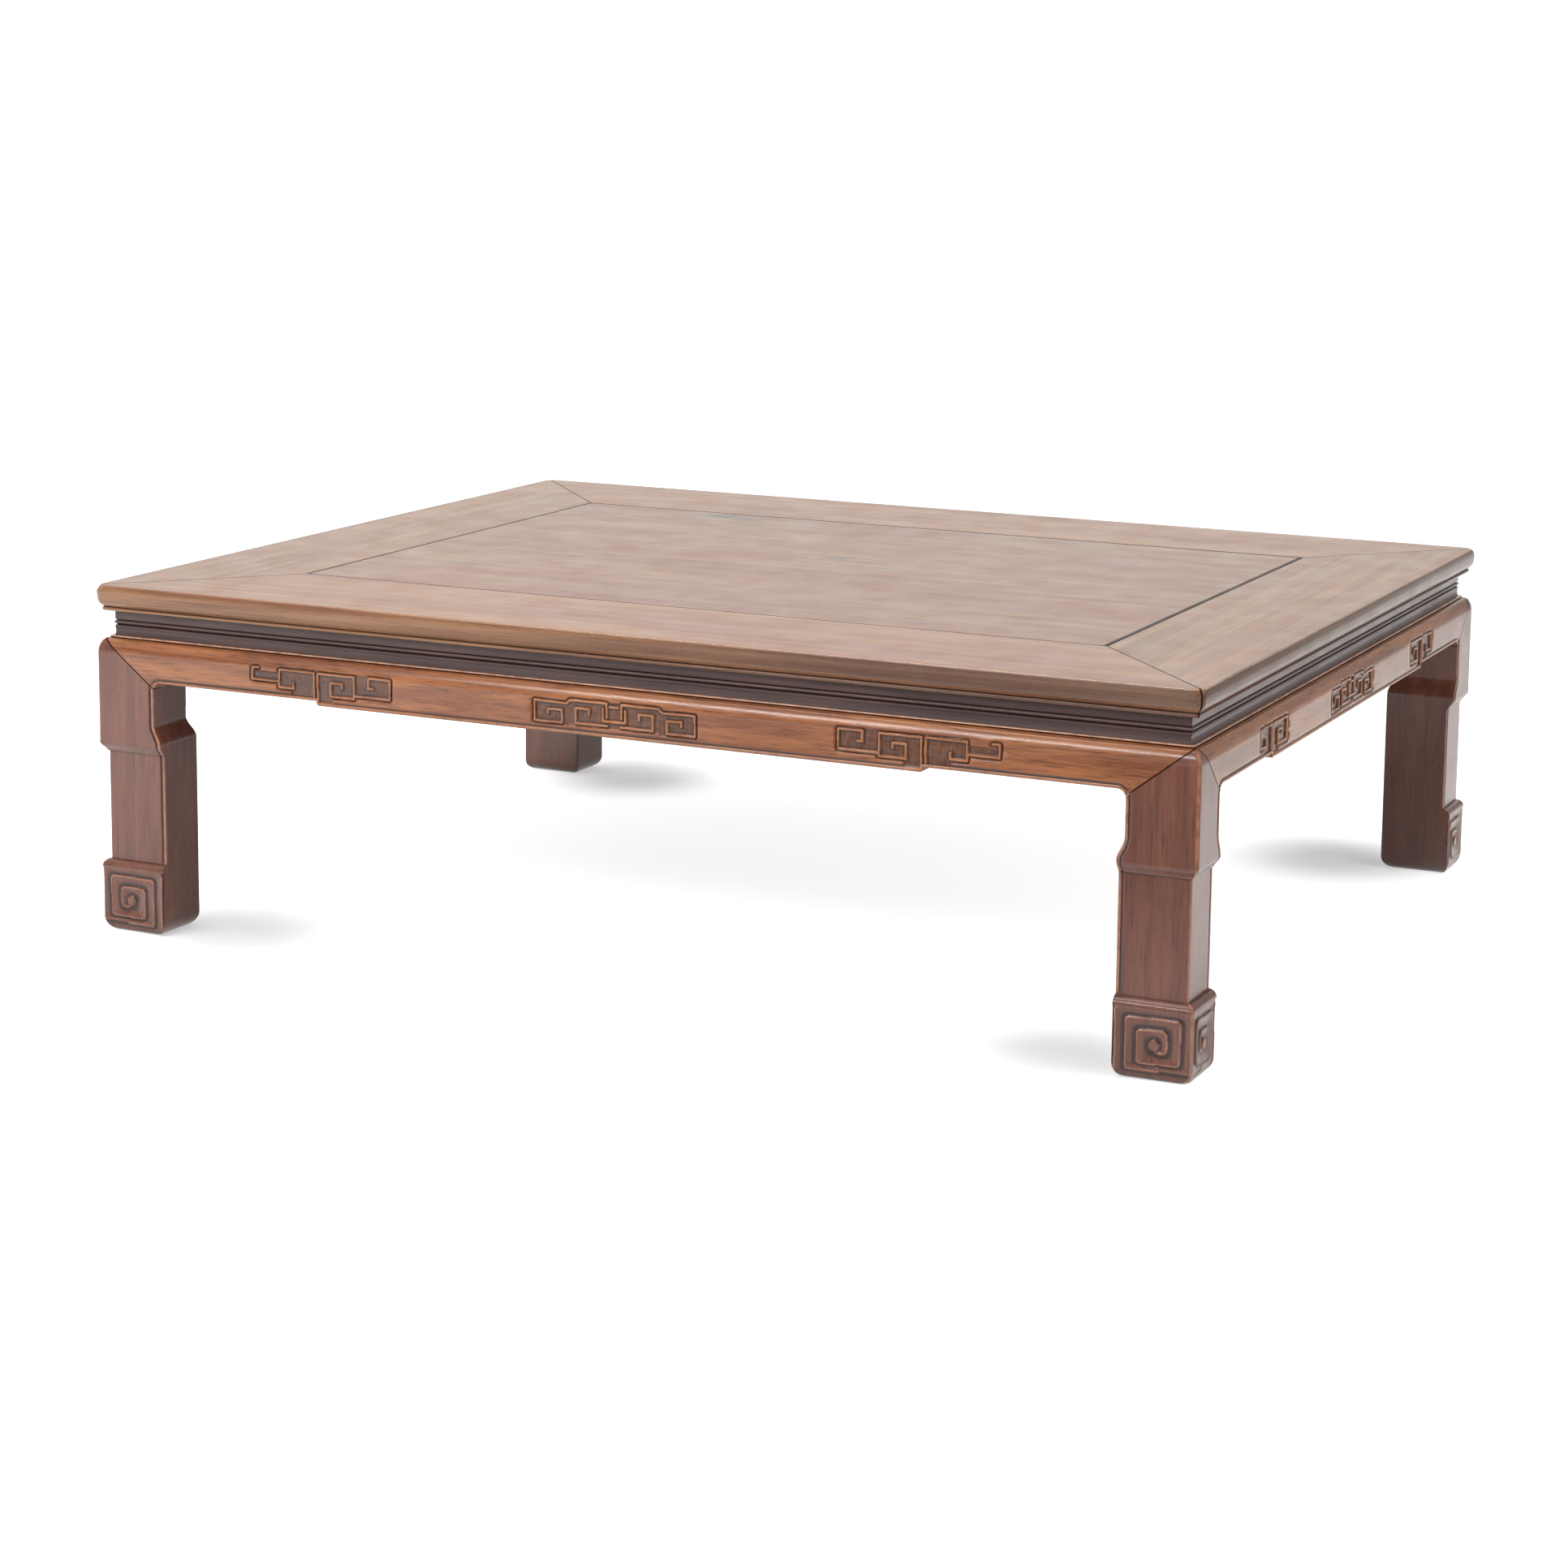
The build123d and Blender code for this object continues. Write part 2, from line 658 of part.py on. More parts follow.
def build_apron(long_side):
    half_span = half_width if long_side else half_length
    half_run = half_length if long_side else half_width
    inner = inner_x if long_side else inner_y
    step = front_step if long_side else side_step
    face_plane = long_face if long_side else short_face
    with BuildPart() as apron:
        with BuildSketch(front_section if long_side else side_section):
            apron_section(half_span)
        extrude(amount=half_run, both=True)
        with BuildSketch(Plane.XZ if long_side else Plane.YZ):
            opening_outline(half_run, inner, step)
        extrude(amount=half_span + 10, mode=Mode.SUBTRACT)
        bead_quirk_cut(face_plane, half_run, inner, step, mitre_low - 5)
        for end in (-1, 1):
            corner = (end, -1) if long_side else (1, end)
            split(bisect_by=apron_mitre(*corner, long_side), keep=Keep.TOP)
            split(bisect_by=hidden_mitre(*corner), keep=Keep.TOP if long_side else Keep.BOTTOM)
            apron_blade(*corner, long_side, 0, Mode.ADD)
        tongue_run = long_tongue if long_side else short_tongue
        inner_tongue(half_span, tongue_run, apron_top - inner_tongue_height - fit_clearance,
                     apron_top + 1.0, fit_clearance, Mode.SUBTRACT)
        if long_side:
            cut_frets(face_plane, fret_paths(step, 36.5, 22.5) + long_fret_paths(step),
                      motif_paths(1.0), motif_shift, step)
            for x_place in key_places:
                with BuildSketch(Plane.XY.move(Location((x_place, 0, key_low)))):
                    key_outline(fit_clearance)
                extrude(amount=apron_top - key_stop - key_low + fit_clearance,
                        mode=Mode.SUBTRACT)
        else:
            cut_frets(face_plane, fret_paths(step, 30.2, 15.5), motif_paths(side_motif_scale), 0,
                      step)
    return apron.part


# ---- Legs

def leg_outline(half_span, inner):
    """Elevation of a leg: shouldered block, set-back shaft and scroll foot."""
    shaft = apron_inset + leg_step
    start, turn, end = shoulder_line(half_span)
    at = lambda *pairs: section_points(half_span, pairs)
    one = lambda inset, height: (half_span - inset, height)
    with BuildLine() as outline:
        gentle = TangentArc(start, turn, tangent=(0, 1))
        TangentArc(gentle @ 1, end, tangent=gentle % 1)
        Line(start, one(apron_inset, shoulder_high))
        roll = TangentArc(
            *at((apron_inset, shoulder_high),
                ((apron_inset + shaft) / 2, (shoulder_high + shoulder_low) / 2)),
            tangent=(0, -1),
        )
        TangentArc(roll @ 1, one(shaft, shoulder_low), tangent=roll % 1)
        Line(*at((shaft, shoulder_low), (shaft, foot_top)))
        TangentArc(*at((shaft, foot_top), (apron_inset, foot_top - leg_step)), tangent=(1, 0))
        Line(*at((apron_inset, foot_top - leg_step), (apron_inset, foot_round)))
        TangentArc(*at((apron_inset, foot_round), (apron_inset + foot_round, 0)),
                   tangent=(0, -1))
        Line(*at((apron_inset + foot_round, 0), (inner + leg_step - foot_round, 0)))
        TangentArc(*at((inner + leg_step - foot_round, 0), (inner + leg_step, foot_round)),
                   tangent=(-1, 0))
        Line(*at((inner + leg_step, foot_round), (inner + leg_step, inner_low)))
        swing = TangentArc(
            *at((inner + leg_step, inner_low),
                (inner + leg_step / 2, (inner_low + inner_high) / 2)),
            tangent=(0, 1),
        )
        TangentArc(swing @ 1, one(inner, inner_high), tangent=swing % 1)
        Polyline(at((inner, inner_high), (inner, apron_top), (shoulder_inset, apron_top)))
    make_face(outline.edges())


def apron_end_room(long_side):
    """Room taken from the front right leg by the end of one apron."""
    with BuildPart() as room:
        if long_side:
            block(corner_place(0, -5, mitre_low - 20, 1, -1),
                  corner_place(inner_x + 20, apron_back, apron_top + 5, 1, -1))
        else:
            block(corner_place(-5, 0, mitre_low - 20, 1, -1),
                  corner_place(apron_back, inner_y + 20, apron_top + 5, 1, -1))
        split(bisect_by=apron_mitre(1, -1, long_side), keep=Keep.TOP)
        split(bisect_by=hidden_mitre(1, -1), keep=Keep.TOP if long_side else Keep.BOTTOM)
    return room.part


def scroll_cut(face_plane, half_span, inner, side):
    """Square spiral that turns in from the foot's inner edge."""
    first = inner + leg_step - scroll_margin
    pitch = (first - scroll_outer) * 0.235
    turns = [
        (first, scroll_start), (first, scroll_high), (scroll_outer, scroll_high),
        (scroll_outer, scroll_low), (first - pitch, scroll_low),
        (first - pitch, scroll_high - scroll_step),
        (scroll_outer + pitch, scroll_high - scroll_step),
        (scroll_outer + pitch, scroll_low + scroll_step),
        (scroll_outer + 2.2 * pitch, scroll_low + scroll_step),
        (scroll_outer + 2.2 * pitch, scroll_low + 1.8 * scroll_step),
    ]
    path = [(side * (half_span - inset), height) for inset, height in turns]
    with BuildSketch(face_plane) as scroll:
        bars(path, scroll_groove)
    extrude(scroll.sketch, amount=-scroll_depth, mode=Mode.SUBTRACT)


front_end_room = apron_end_room(True)
side_end_room = apron_end_room(False)

with BuildPart() as plain_leg:
    with BuildSketch(Plane.XZ.offset(half_width - inner_y - leg_step)):
        leg_outline(half_length, inner_x)
    extrude(amount=inner_y + leg_step)
    with BuildSketch(Plane.YZ):
        leg_outline(half_width, inner_y)
        mirror(about=Plane.YZ, mode=Mode.REPLACE)
    extrude(amount=half_length, mode=Mode.INTERSECT)
    add(front_end_room, mode=Mode.SUBTRACT)
    add(side_end_room, mode=Mode.SUBTRACT)
    block(corner_place(apron_back, apron_back, apron_top - 5, 1, -1),
          corner_place(inner_x, inner_y, frame_low, 1, -1))
    for which in (0, 1):
        leg_tenon(which, 1, -1, 0, Mode.ADD)
    apron_blade(1, -1, True, fit_clearance, Mode.SUBTRACT)
    apron_blade(1, -1, False, fit_clearance, Mode.SUBTRACT)
    bead_quirk_cut(long_face, half_length, inner_x, front_step, foot_top)
    bead_quirk_cut(short_face, half_width, inner_y, side_step, foot_top)
    scroll_cut(long_face, half_length, inner_x, 1)
    scroll_cut(short_face, half_width, inner_y, -1)


# ---- Dovetail keys

def build_key(x_place):
    with BuildPart() as key:
        with BuildSketch(Plane.XY.move(Location((x_place, 0, key_low)))):
            key_outline(0)
        extrude(amount=apron_top - key_stop - key_low)
        block(
            (x_place - key_width / 2, -half_width + apron_back, key_low),
            (x_place + key_width / 2, -half_width + apron_back + key_back, frame_low),
        )
        key_tenon_block(x_place, 0, Mode.ADD)
    return key.part


# ---- All the pieces

def place(name, part, across_x=False, across_y=False):
    """Name a piece, and mirror it to the left or to the back where asked."""
    with BuildPart() as piece:
        add(part)
        if across_x:
            mirror(about=Plane.YZ, mode=Mode.REPLACE)
        if across_y:
            mirror(about=Plane.XZ, mode=Mode.REPLACE)
    piece.part.label = name
    return piece.part


pieces = [centre_panel.part]
for number, x_place in enumerate(batten_places(), start=1):
    pieces.append(build_batten(number, x_place))

for member, part in (
    ("top_stile", build_stile()),
    ("waist", build_length(waist_section, waist_low, frame_low, True)),
    ("torus", build_length(torus_section, apron_top, waist_low, True)),
    ("apron", build_apron(True)),
):
    pieces.append(place(f"{member}_front", part))
    pieces.append(place(f"{member}_back", part, across_y=True))

for member, part in (
    ("top_rail", build_rail()),
    ("waist", build_length(waist_section, waist_low, frame_low, False)),
    ("torus", build_length(torus_section, apron_top, waist_low, False)),
    ("apron", build_apron(False)),
):
    pieces.append(place(f"{member}_right", part))
    pieces.append(place(f"{member}_left", part, across_x=True))

for x_name, to_left in (("left", True), ("right", False)):
    for y_name, to_back in (("front", False), ("back", True)):
        pieces.append(place(f"leg_{y_name}_{x_name}", plain_leg.part, to_left, to_back))

for number, x_place in enumerate(key_places, start=1):
    key = build_key(x_place)
    pieces.append(place(f"dovetail_key_{number}", key))
    pieces.append(place(f"dovetail_key_{number + len(key_places)}", key, across_y=True))

for piece in pieces:
    export_step(piece, f"parts/{piece.label}.step")
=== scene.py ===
# %% [markdown]
# # A kang table
# A kang table is a low table of polished hardwood, used on a heated platform or on the floor.
# Its joinery comes in as fixed pieces: mitred frame, floating panel, waist, mouldings, battens
# and keys. This script adds the camera, the light, the old polish on the wood, the soft edges
# of the frame, and the carving of the aprons and feet that a plain model lacks.

import math
import random

import bpy
import numpy as np
from mathutils import Matrix, Vector


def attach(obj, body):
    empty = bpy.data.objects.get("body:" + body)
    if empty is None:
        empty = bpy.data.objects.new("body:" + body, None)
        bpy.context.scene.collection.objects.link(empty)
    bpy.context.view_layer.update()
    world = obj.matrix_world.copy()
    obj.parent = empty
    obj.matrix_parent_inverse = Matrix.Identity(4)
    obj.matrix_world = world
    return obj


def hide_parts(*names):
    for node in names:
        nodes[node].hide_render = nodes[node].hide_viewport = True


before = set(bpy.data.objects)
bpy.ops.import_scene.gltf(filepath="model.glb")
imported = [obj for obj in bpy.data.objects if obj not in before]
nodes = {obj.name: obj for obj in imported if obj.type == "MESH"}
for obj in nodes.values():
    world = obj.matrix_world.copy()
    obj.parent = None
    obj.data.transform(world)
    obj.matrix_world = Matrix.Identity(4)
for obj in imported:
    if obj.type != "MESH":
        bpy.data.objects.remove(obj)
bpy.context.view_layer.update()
scene = bpy.context.scene

# %% [markdown]
# The camera stands to the right of the table's front and a little above the top, with a long
# lens, so the far edges run back gently and the top shows as a thin lozenge.

# %% Camera
IMAGE_SIDE = 1932          # pixels, square
FOCAL_PIXELS = 4248.9
YAW, PITCH, ROLL = 0.44370, 0.15672, 0.00980      # radians
CAMERA_PLACE = Vector((1.29028, -2.78324, 0.78701))
CENTRE_ROW = 700           # image row that the lens points at

forward = Vector((-math.sin(YAW) * math.cos(PITCH), math.cos(YAW) * math.cos(PITCH), -math.sin(PITCH)))
level = Vector((math.cos(YAW), math.sin(YAW), 0))
upward = level.cross(forward)
right = level * math.cos(ROLL) + upward * math.sin(ROLL)
up = -level * math.sin(ROLL) + upward * math.cos(ROLL)

camera_data = bpy.data.cameras.new("camera")
camera = bpy.data.objects.new("camera", camera_data)
scene.collection.objects.link(camera)
rotation = Matrix((right, up, -forward)).transposed().to_4x4()
camera.matrix_world = Matrix.Translation(CAMERA_PLACE) @ rotation
camera_data.sensor_width = 36
camera_data.lens = FOCAL_PIXELS / IMAGE_SIDE * 36
camera_data.shift_y = -(IMAGE_SIDE / 2 - CENTRE_ROW) / IMAGE_SIDE
camera_data.clip_end = 60
scene.camera = camera
print("lens", round(camera_data.lens, 1), "mm")

# %% [markdown]
# Every finish is a tree of nodes. One helper adds a node: its inputs are given in the order of
# its sockets, and settings are its properties or further sockets by name.

# %% Colour and node helpers
SOFTLY = {"interpolation_type": "SMOOTHSTEP"}         # a Map Range with soft ends


def srgb(code):
    """A #rrggbb colour as linear red, green, blue and alpha."""
    channels = [int(code[i:i + 2], 16) / 255 for i in (1, 3, 5)]
    linear = [c / 12.92 if c <= 0.04045 else ((c + 0.055) / 1.055) ** 2.4 for c in channels]
    return (*linear, 1.0)


def add(tree, kind, *inputs, **settings):
    """Add one node. An input is a node, an output, a number, a colour code or None."""
    node = tree.nodes.new("ShaderNode" + kind)
    sockets = {s.name.lower().replace(" ", "_") for s in node.inputs}
    for name, value in settings.items():
        if name not in sockets:
            setattr(node, name, value)
    open_sockets = [s for s in node.inputs if s.enabled]
    named = {s.name.lower().replace(" ", "_"): s for s in reversed(open_sockets)}
    given = list(zip(open_sockets, inputs)) + [(named[n], v) for n, v in settings.items() if n in named]
    for socket, value in given:
        if isinstance(value, bpy.types.Node):
            value = next(output for output in value.outputs if output.enabled)
        if isinstance(value, bpy.types.NodeSocket):
            tree.links.new(value, socket)
        elif value is not None:
            socket.default_value = srgb(value) if isinstance(value, str) else value
    return node


def new_tree(material):
    """The emptied node tree of a material or a world."""
    material.use_nodes = True
    material.node_tree.nodes.clear()
    return material.node_tree


print("white is", [round(c, 3) for c in srgb("#ffffff")])

# %% [markdown]
# Old hongmu lives from what it mirrors, so the table stands in a white studio. To the eye the
# world is white. In reflections it is bright at the back, dim to the right, and grey at the
# front, where the camera stood in a dark room. For plain light it is dimmer still.

# %% White world
world = bpy.data.worlds.new("studio")
scene.world = world
tree = new_tree(world)
path = add(tree, "LightPath")
toward = add(tree, "SeparateXYZ", add(tree, "TexCoord").outputs["Generated"])
behind = add(tree, "MapRange", toward.outputs[1], -0.75, 0.15, 0.42, 0.95, **SOFTLY)
to_right = add(tree, "MapRange", toward.outputs[0], -0.06, 0.2, 1.0, 0.42, **SOFTLY)
mirrored = add(tree, "Math", behind, to_right, operation="MULTIPLY")
plain = add(tree, "Background", "#ffffff", 0.5)
room = add(tree, "Background", "#fffcf8", mirrored)
white = add(tree, "Background", "#ffffff", 1.0)
seen = add(tree, "MixShader", path.outputs["Is Glossy Ray"], plain, room)
seen = add(tree, "MixShader", path.outputs["Is Camera Ray"], seen, white)
add(tree, "OutputWorld", seen)
print("a white world named", world.name)

# %% [markdown]
# The floor is matt white paper. It glows to the camera until it is nearly white, so that only
# soft shadows beside the feet show. The glow is a little less on the inner side of each foot,
# which paints part of those shadows. In reflections it glows with painted light and shade: bright
# behind the table, to its left and just in front of it, and dim further in front, beneath it and
# far to the right.

# %% Paper floor
SHADOW_PLACE = (0.385, 0.365, 0)      # metres, middle of the grey patch beside each foot

bpy.ops.object.select_all(action="DESELECT")
bpy.ops.mesh.primitive_plane_add(size=40, location=(0, 8, 0))
floor = bpy.context.object
floor.name = "floor"
bpy.ops.object.transform_apply(location=True)
paper = bpy.data.materials.new("matt_white_paper")
tree = new_tree(paper)
path = add(tree, "LightPath")
place = add(tree, "NewGeometry").outputs["Position"]
spot = add(tree, "SeparateXYZ", place)
folded = add(tree, "VectorMath", place, operation="ABSOLUTE")
spread = add(tree, "SeparateXYZ", folded)
from_foot = add(tree, "VectorMath", folded, SHADOW_PLACE, operation="DISTANCE").outputs["Value"]
# The glow is lowered beside each foot, which paints a soft shadow there over the real one.
eye_glow = add(tree, "MapRange", from_foot, 0.02, 0.13, 0.33, 0.815, **SOFTLY)
beyond = add(tree, "MapRange", spread.outputs[0], 0.45, 0.51, 0.0, 0.84, **SOFTLY)
eye_glow = add(tree, "Math", eye_glow, beyond, operation="MAXIMUM")
reach_x = add(tree, "Math", spread.outputs[0], 0.5, operation="DIVIDE")
middle_y = add(tree, "Math", add(tree, "Math", spot.outputs[1], -0.25), operation="ABSOLUTE")
reach_y = add(tree, "Math", middle_y, 0.65, operation="DIVIDE")
outside = add(tree, "Math", reach_x, reach_y, operation="MAXIMUM")
# Painted light and shade in reflections: bright behind, left of and just in front of the table, dim beneath
# it and far right.
from_front = add(tree, "MapRange", spot.outputs[1], -0.55, 0.1, 0.22, 1.3, **SOFTLY)
from_left = add(tree, "MapRange", spot.outputs[0], -0.95, 0.15, 1.95, 0.1, **SOFTLY)
near_front = add(tree, "MapRange", spot.outputs[1], -1.2, -0.55, 0.25, 1.1, **SOFTLY)
mirrored = add(tree, "Math", from_front, from_left, operation="MAXIMUM")
mirrored = add(tree, "Math", mirrored, near_front, operation="MAXIMUM")
lit = add(tree, "MapRange", outside, 0.85, 1.1, 0.36, 1.0, **SOFTLY)
far_right = add(tree, "MapRange", spot.outputs[0], 0.92, 0.985, 1.0, 0.3, **SOFTLY)
mirrored = add(tree, "Math", mirrored, lit, operation="MULTIPLY")
mirrored = add(tree, "Math", mirrored, far_right, operation="MULTIPLY")
matt = add(tree, "BsdfDiffuse", "#dadcde")
# Bounced light sees the floor beneath the table as dark grey: a painted shade.
shaded = add(tree, "MixShader", lit, add(tree, "BsdfDiffuse", "#4a4a4c"), matt)
to_eye = add(tree, "AddShader", matt, add(tree, "Emission", "#ffffff", eye_glow))
seen = add(tree, "MixShader", path.outputs["Is Camera Ray"], shaded, to_eye)
seen = add(tree, "MixShader", path.outputs["Is Glossy Ray"], seen, add(tree, "Emission", "#fffdfb", mirrored))
add(tree, "OutputMaterial", seen)
floor.data.materials.append(paper)
print("floor", tuple(round(v, 1) for v in floor.dimensions))

# %% [markdown]
# Old furniture is shown under large, soft lamps, so that its polish reads without hard spots. A
# wide softbox above and a strip in front also show in the polish. The two fills only add plain
# light, so they are hidden from reflections. A sun lamp would give crisp shadows, which don't
# suit a studio.

# %% Lamps
def softbox(name, place, aim, size, power):
    """A soft rectangular lamp, in metres and watts."""
    data = bpy.data.lights.new(name, "AREA")
    data.shape = "RECTANGLE"
    data.size, data.size_y = size
    data.energy = power
    lamp = bpy.data.objects.new(name, data)
    scene.collection.objects.link(lamp)
    lamp.location = place
    lamp.rotation_euler = (Vector(aim) - Vector(place)).to_track_quat("-Z", "Y").to_euler()
    return lamp


softbox("top_softbox", (-0.5, -0.3, 2.5), (0, 0, 0.2), (2.4, 1.8), 36)
softbox("front_fill", (-1.3, -2.7, 1.75), (0, -0.3, 0.25), (3.0, 0.4), 34).visible_glossy = False
softbox("right_fill", (3.0, -0.7, 1.3), (0.45, 0, 0.2), (1.5, 1.5), 24).visible_glossy = False
softbox("front_strip", (-0.86, -2.94, 1.75), (0.42, -0.55, 0.25), (1.5, 0.26), 24)
scene.view_settings.view_transform = "Standard"
print(len(bpy.data.lights), "lamps")

# %% [markdown]
# Hongmu is a dense, reddish rosewood, planed, waxed and polished by use. Its eye is straight
# grain with fine dark pores, broad clouds of tone, a satin gloss that mirrors a bright room, dark
# wax in every recess and paler edges, worn and in places painted bright as highlights. All patterns
# run in real millimetres on object coordinates, and pores are drawn about twice as wide as they
# are, so that they show.

# %% Seams and rubbed edges
MM = 0.001
HALF_LENGTH, HALF_WIDTH = 500.0, 398.5       # the table's sizes are in millimetres
MITRE_X, MITRE_Y = 0.7385, 0.6743            # direction square to the frame's mitres
APRON_TOP, MEETING = 258.6, 8.3              # height and inset of the point where two aprons meet
BLOCK_X, BLOCK_Y = 59.4, 49.5                # insets of the inner edges of the leg blocks
MITRE_RUNS = (BLOCK_X - MEETING, BLOCK_Y - MEETING)
MITRE_RISE = 39.6                            # of the sloping mitre between apron and leg
# Joints round the panel: (axis, place, width, reach along the other axis), in metres.
PANEL_GAPS = ((0, 0.3717, 0.0034, 0.262), (0, -0.3728, 0.0022, 0.262),
              (1, 0.2590, 0.0034, 0.375), (1, -0.2598, 0.0016, 0.375))


def top_seams(tree, where):
    """Dark line of the frame's mitres."""
    folded = add(tree, "SeparateXYZ", add(tree, "VectorMath", where, operation="ABSOLUTE"))
    end_x, end_y = -MITRE_X * HALF_LENGTH * MM, -MITRE_Y * HALF_WIDTH * MM
    part_x = add(tree, "Math", folded.outputs[0], MITRE_X, end_x, operation="MULTIPLY_ADD")
    part_y = add(tree, "Math", folded.outputs[1], MITRE_Y, end_y, operation="MULTIPLY_ADD")
    off = add(tree, "Math", part_x, part_y, operation="SUBTRACT")
    off = add(tree, "Math", off, operation="ABSOLUTE")
    return add(tree, "MapRange", off, 0.0004, 0.0012, 0.95, 0.0, **SOFTLY)


def shoulder_seams(tree, where):
    """Dark line of the sloping mitres between aprons and legs."""
    height = add(tree, "SeparateXYZ", where).outputs[2]
    folded = add(tree, "VectorMath", where, operation="ABSOLUTE")
    outermost = (HALF_LENGTH * MM, HALF_WIDTH * MM, 0)
    inset = add(tree, "SeparateXYZ", add(tree, "VectorMath", outermost, folded, operation="SUBTRACT"))
    lines = 0.0
    for axis, run in enumerate(MITRE_RUNS):
        slope = MITRE_RISE / run
        top = -(APRON_TOP + MEETING * slope) * MM
        off = add(tree, "Math", inset.outputs[axis], slope, top, operation="MULTIPLY_ADD")
        off = add(tree, "Math", add(tree, "Math", off, height), operation="ABSOLUTE")
        size = math.hypot(1, slope)
        line = add(tree, "MapRange", off, 0.00025 * size, 0.0009 * size, 0.92, 0.0, **SOFTLY)
        on_face = add(tree, "MapRange", inset.outputs[1 - axis], 0.0088, 0.0105, 1.0, 0.0, **SOFTLY)
        line = add(tree, "Math", line, on_face, operation="MULTIPLY")
        lines = add(tree, "Math", line, lines, operation="MAXIMUM")
    return lines


def panel_gap(tree, where):
    """Dirt in the joint round the panel, widest where the panel has shrunk most."""
    split = add(tree, "SeparateXYZ", where)
    lines = 0.0
    for axis, place, width, reach in PANEL_GAPS:
        off = add(tree, "Math", add(tree, "Math", split.outputs[axis], -place), operation="ABSOLUTE")
        line = add(tree, "MapRange", off, width * 0.45, width, 0.95, 0.0, **SOFTLY)
        across = add(tree, "Math", split.outputs[1 - axis], operation="ABSOLUTE")
        inside = add(tree, "MapRange", across, reach, reach + 0.001, 1.0, 0.0, **SOFTLY)
        line = add(tree, "Math", line, inside, operation="MULTIPLY")
        lines = add(tree, "Math", line, lines, operation="MAXIMUM")
    return lines


print("sloping mitres run", [round(run, 1) for run in MITRE_RUNS], "mm")

# %% [markdown]
# A board shows its grain at several sizes at once, so the finish adds noises of different width,
# each stretched along the grain. Painted pictures of wood would blur in close-up and show their
# edges, while noise in real millimetres runs on over every carved face. A point attribute says
# how proud or sunk each point is and steers the wax and the wear; on the roll, the frame's arris
# and below the legs' blocks it also carries painted highlights and painted shade.

# %% Grain and polish
GRAIN_TURN = {"X": (0, 0, 0), "Y": (0, 0, -math.pi / 2), "Z": (0, math.pi / 2, 0)}
STAIN, UPRIGHT_SHADE_TINT, FOOT_SHEEN_GREY, OLD_FILLER = "#33191c", "#bfcff0", "#76605a", "#dccab8"
WAX_AND_PAINTED_SHADE, PAINTED_UNDERSHADE, OPEN_SEAM = "#2b1614", "#160d0d", "#1c0f0d"


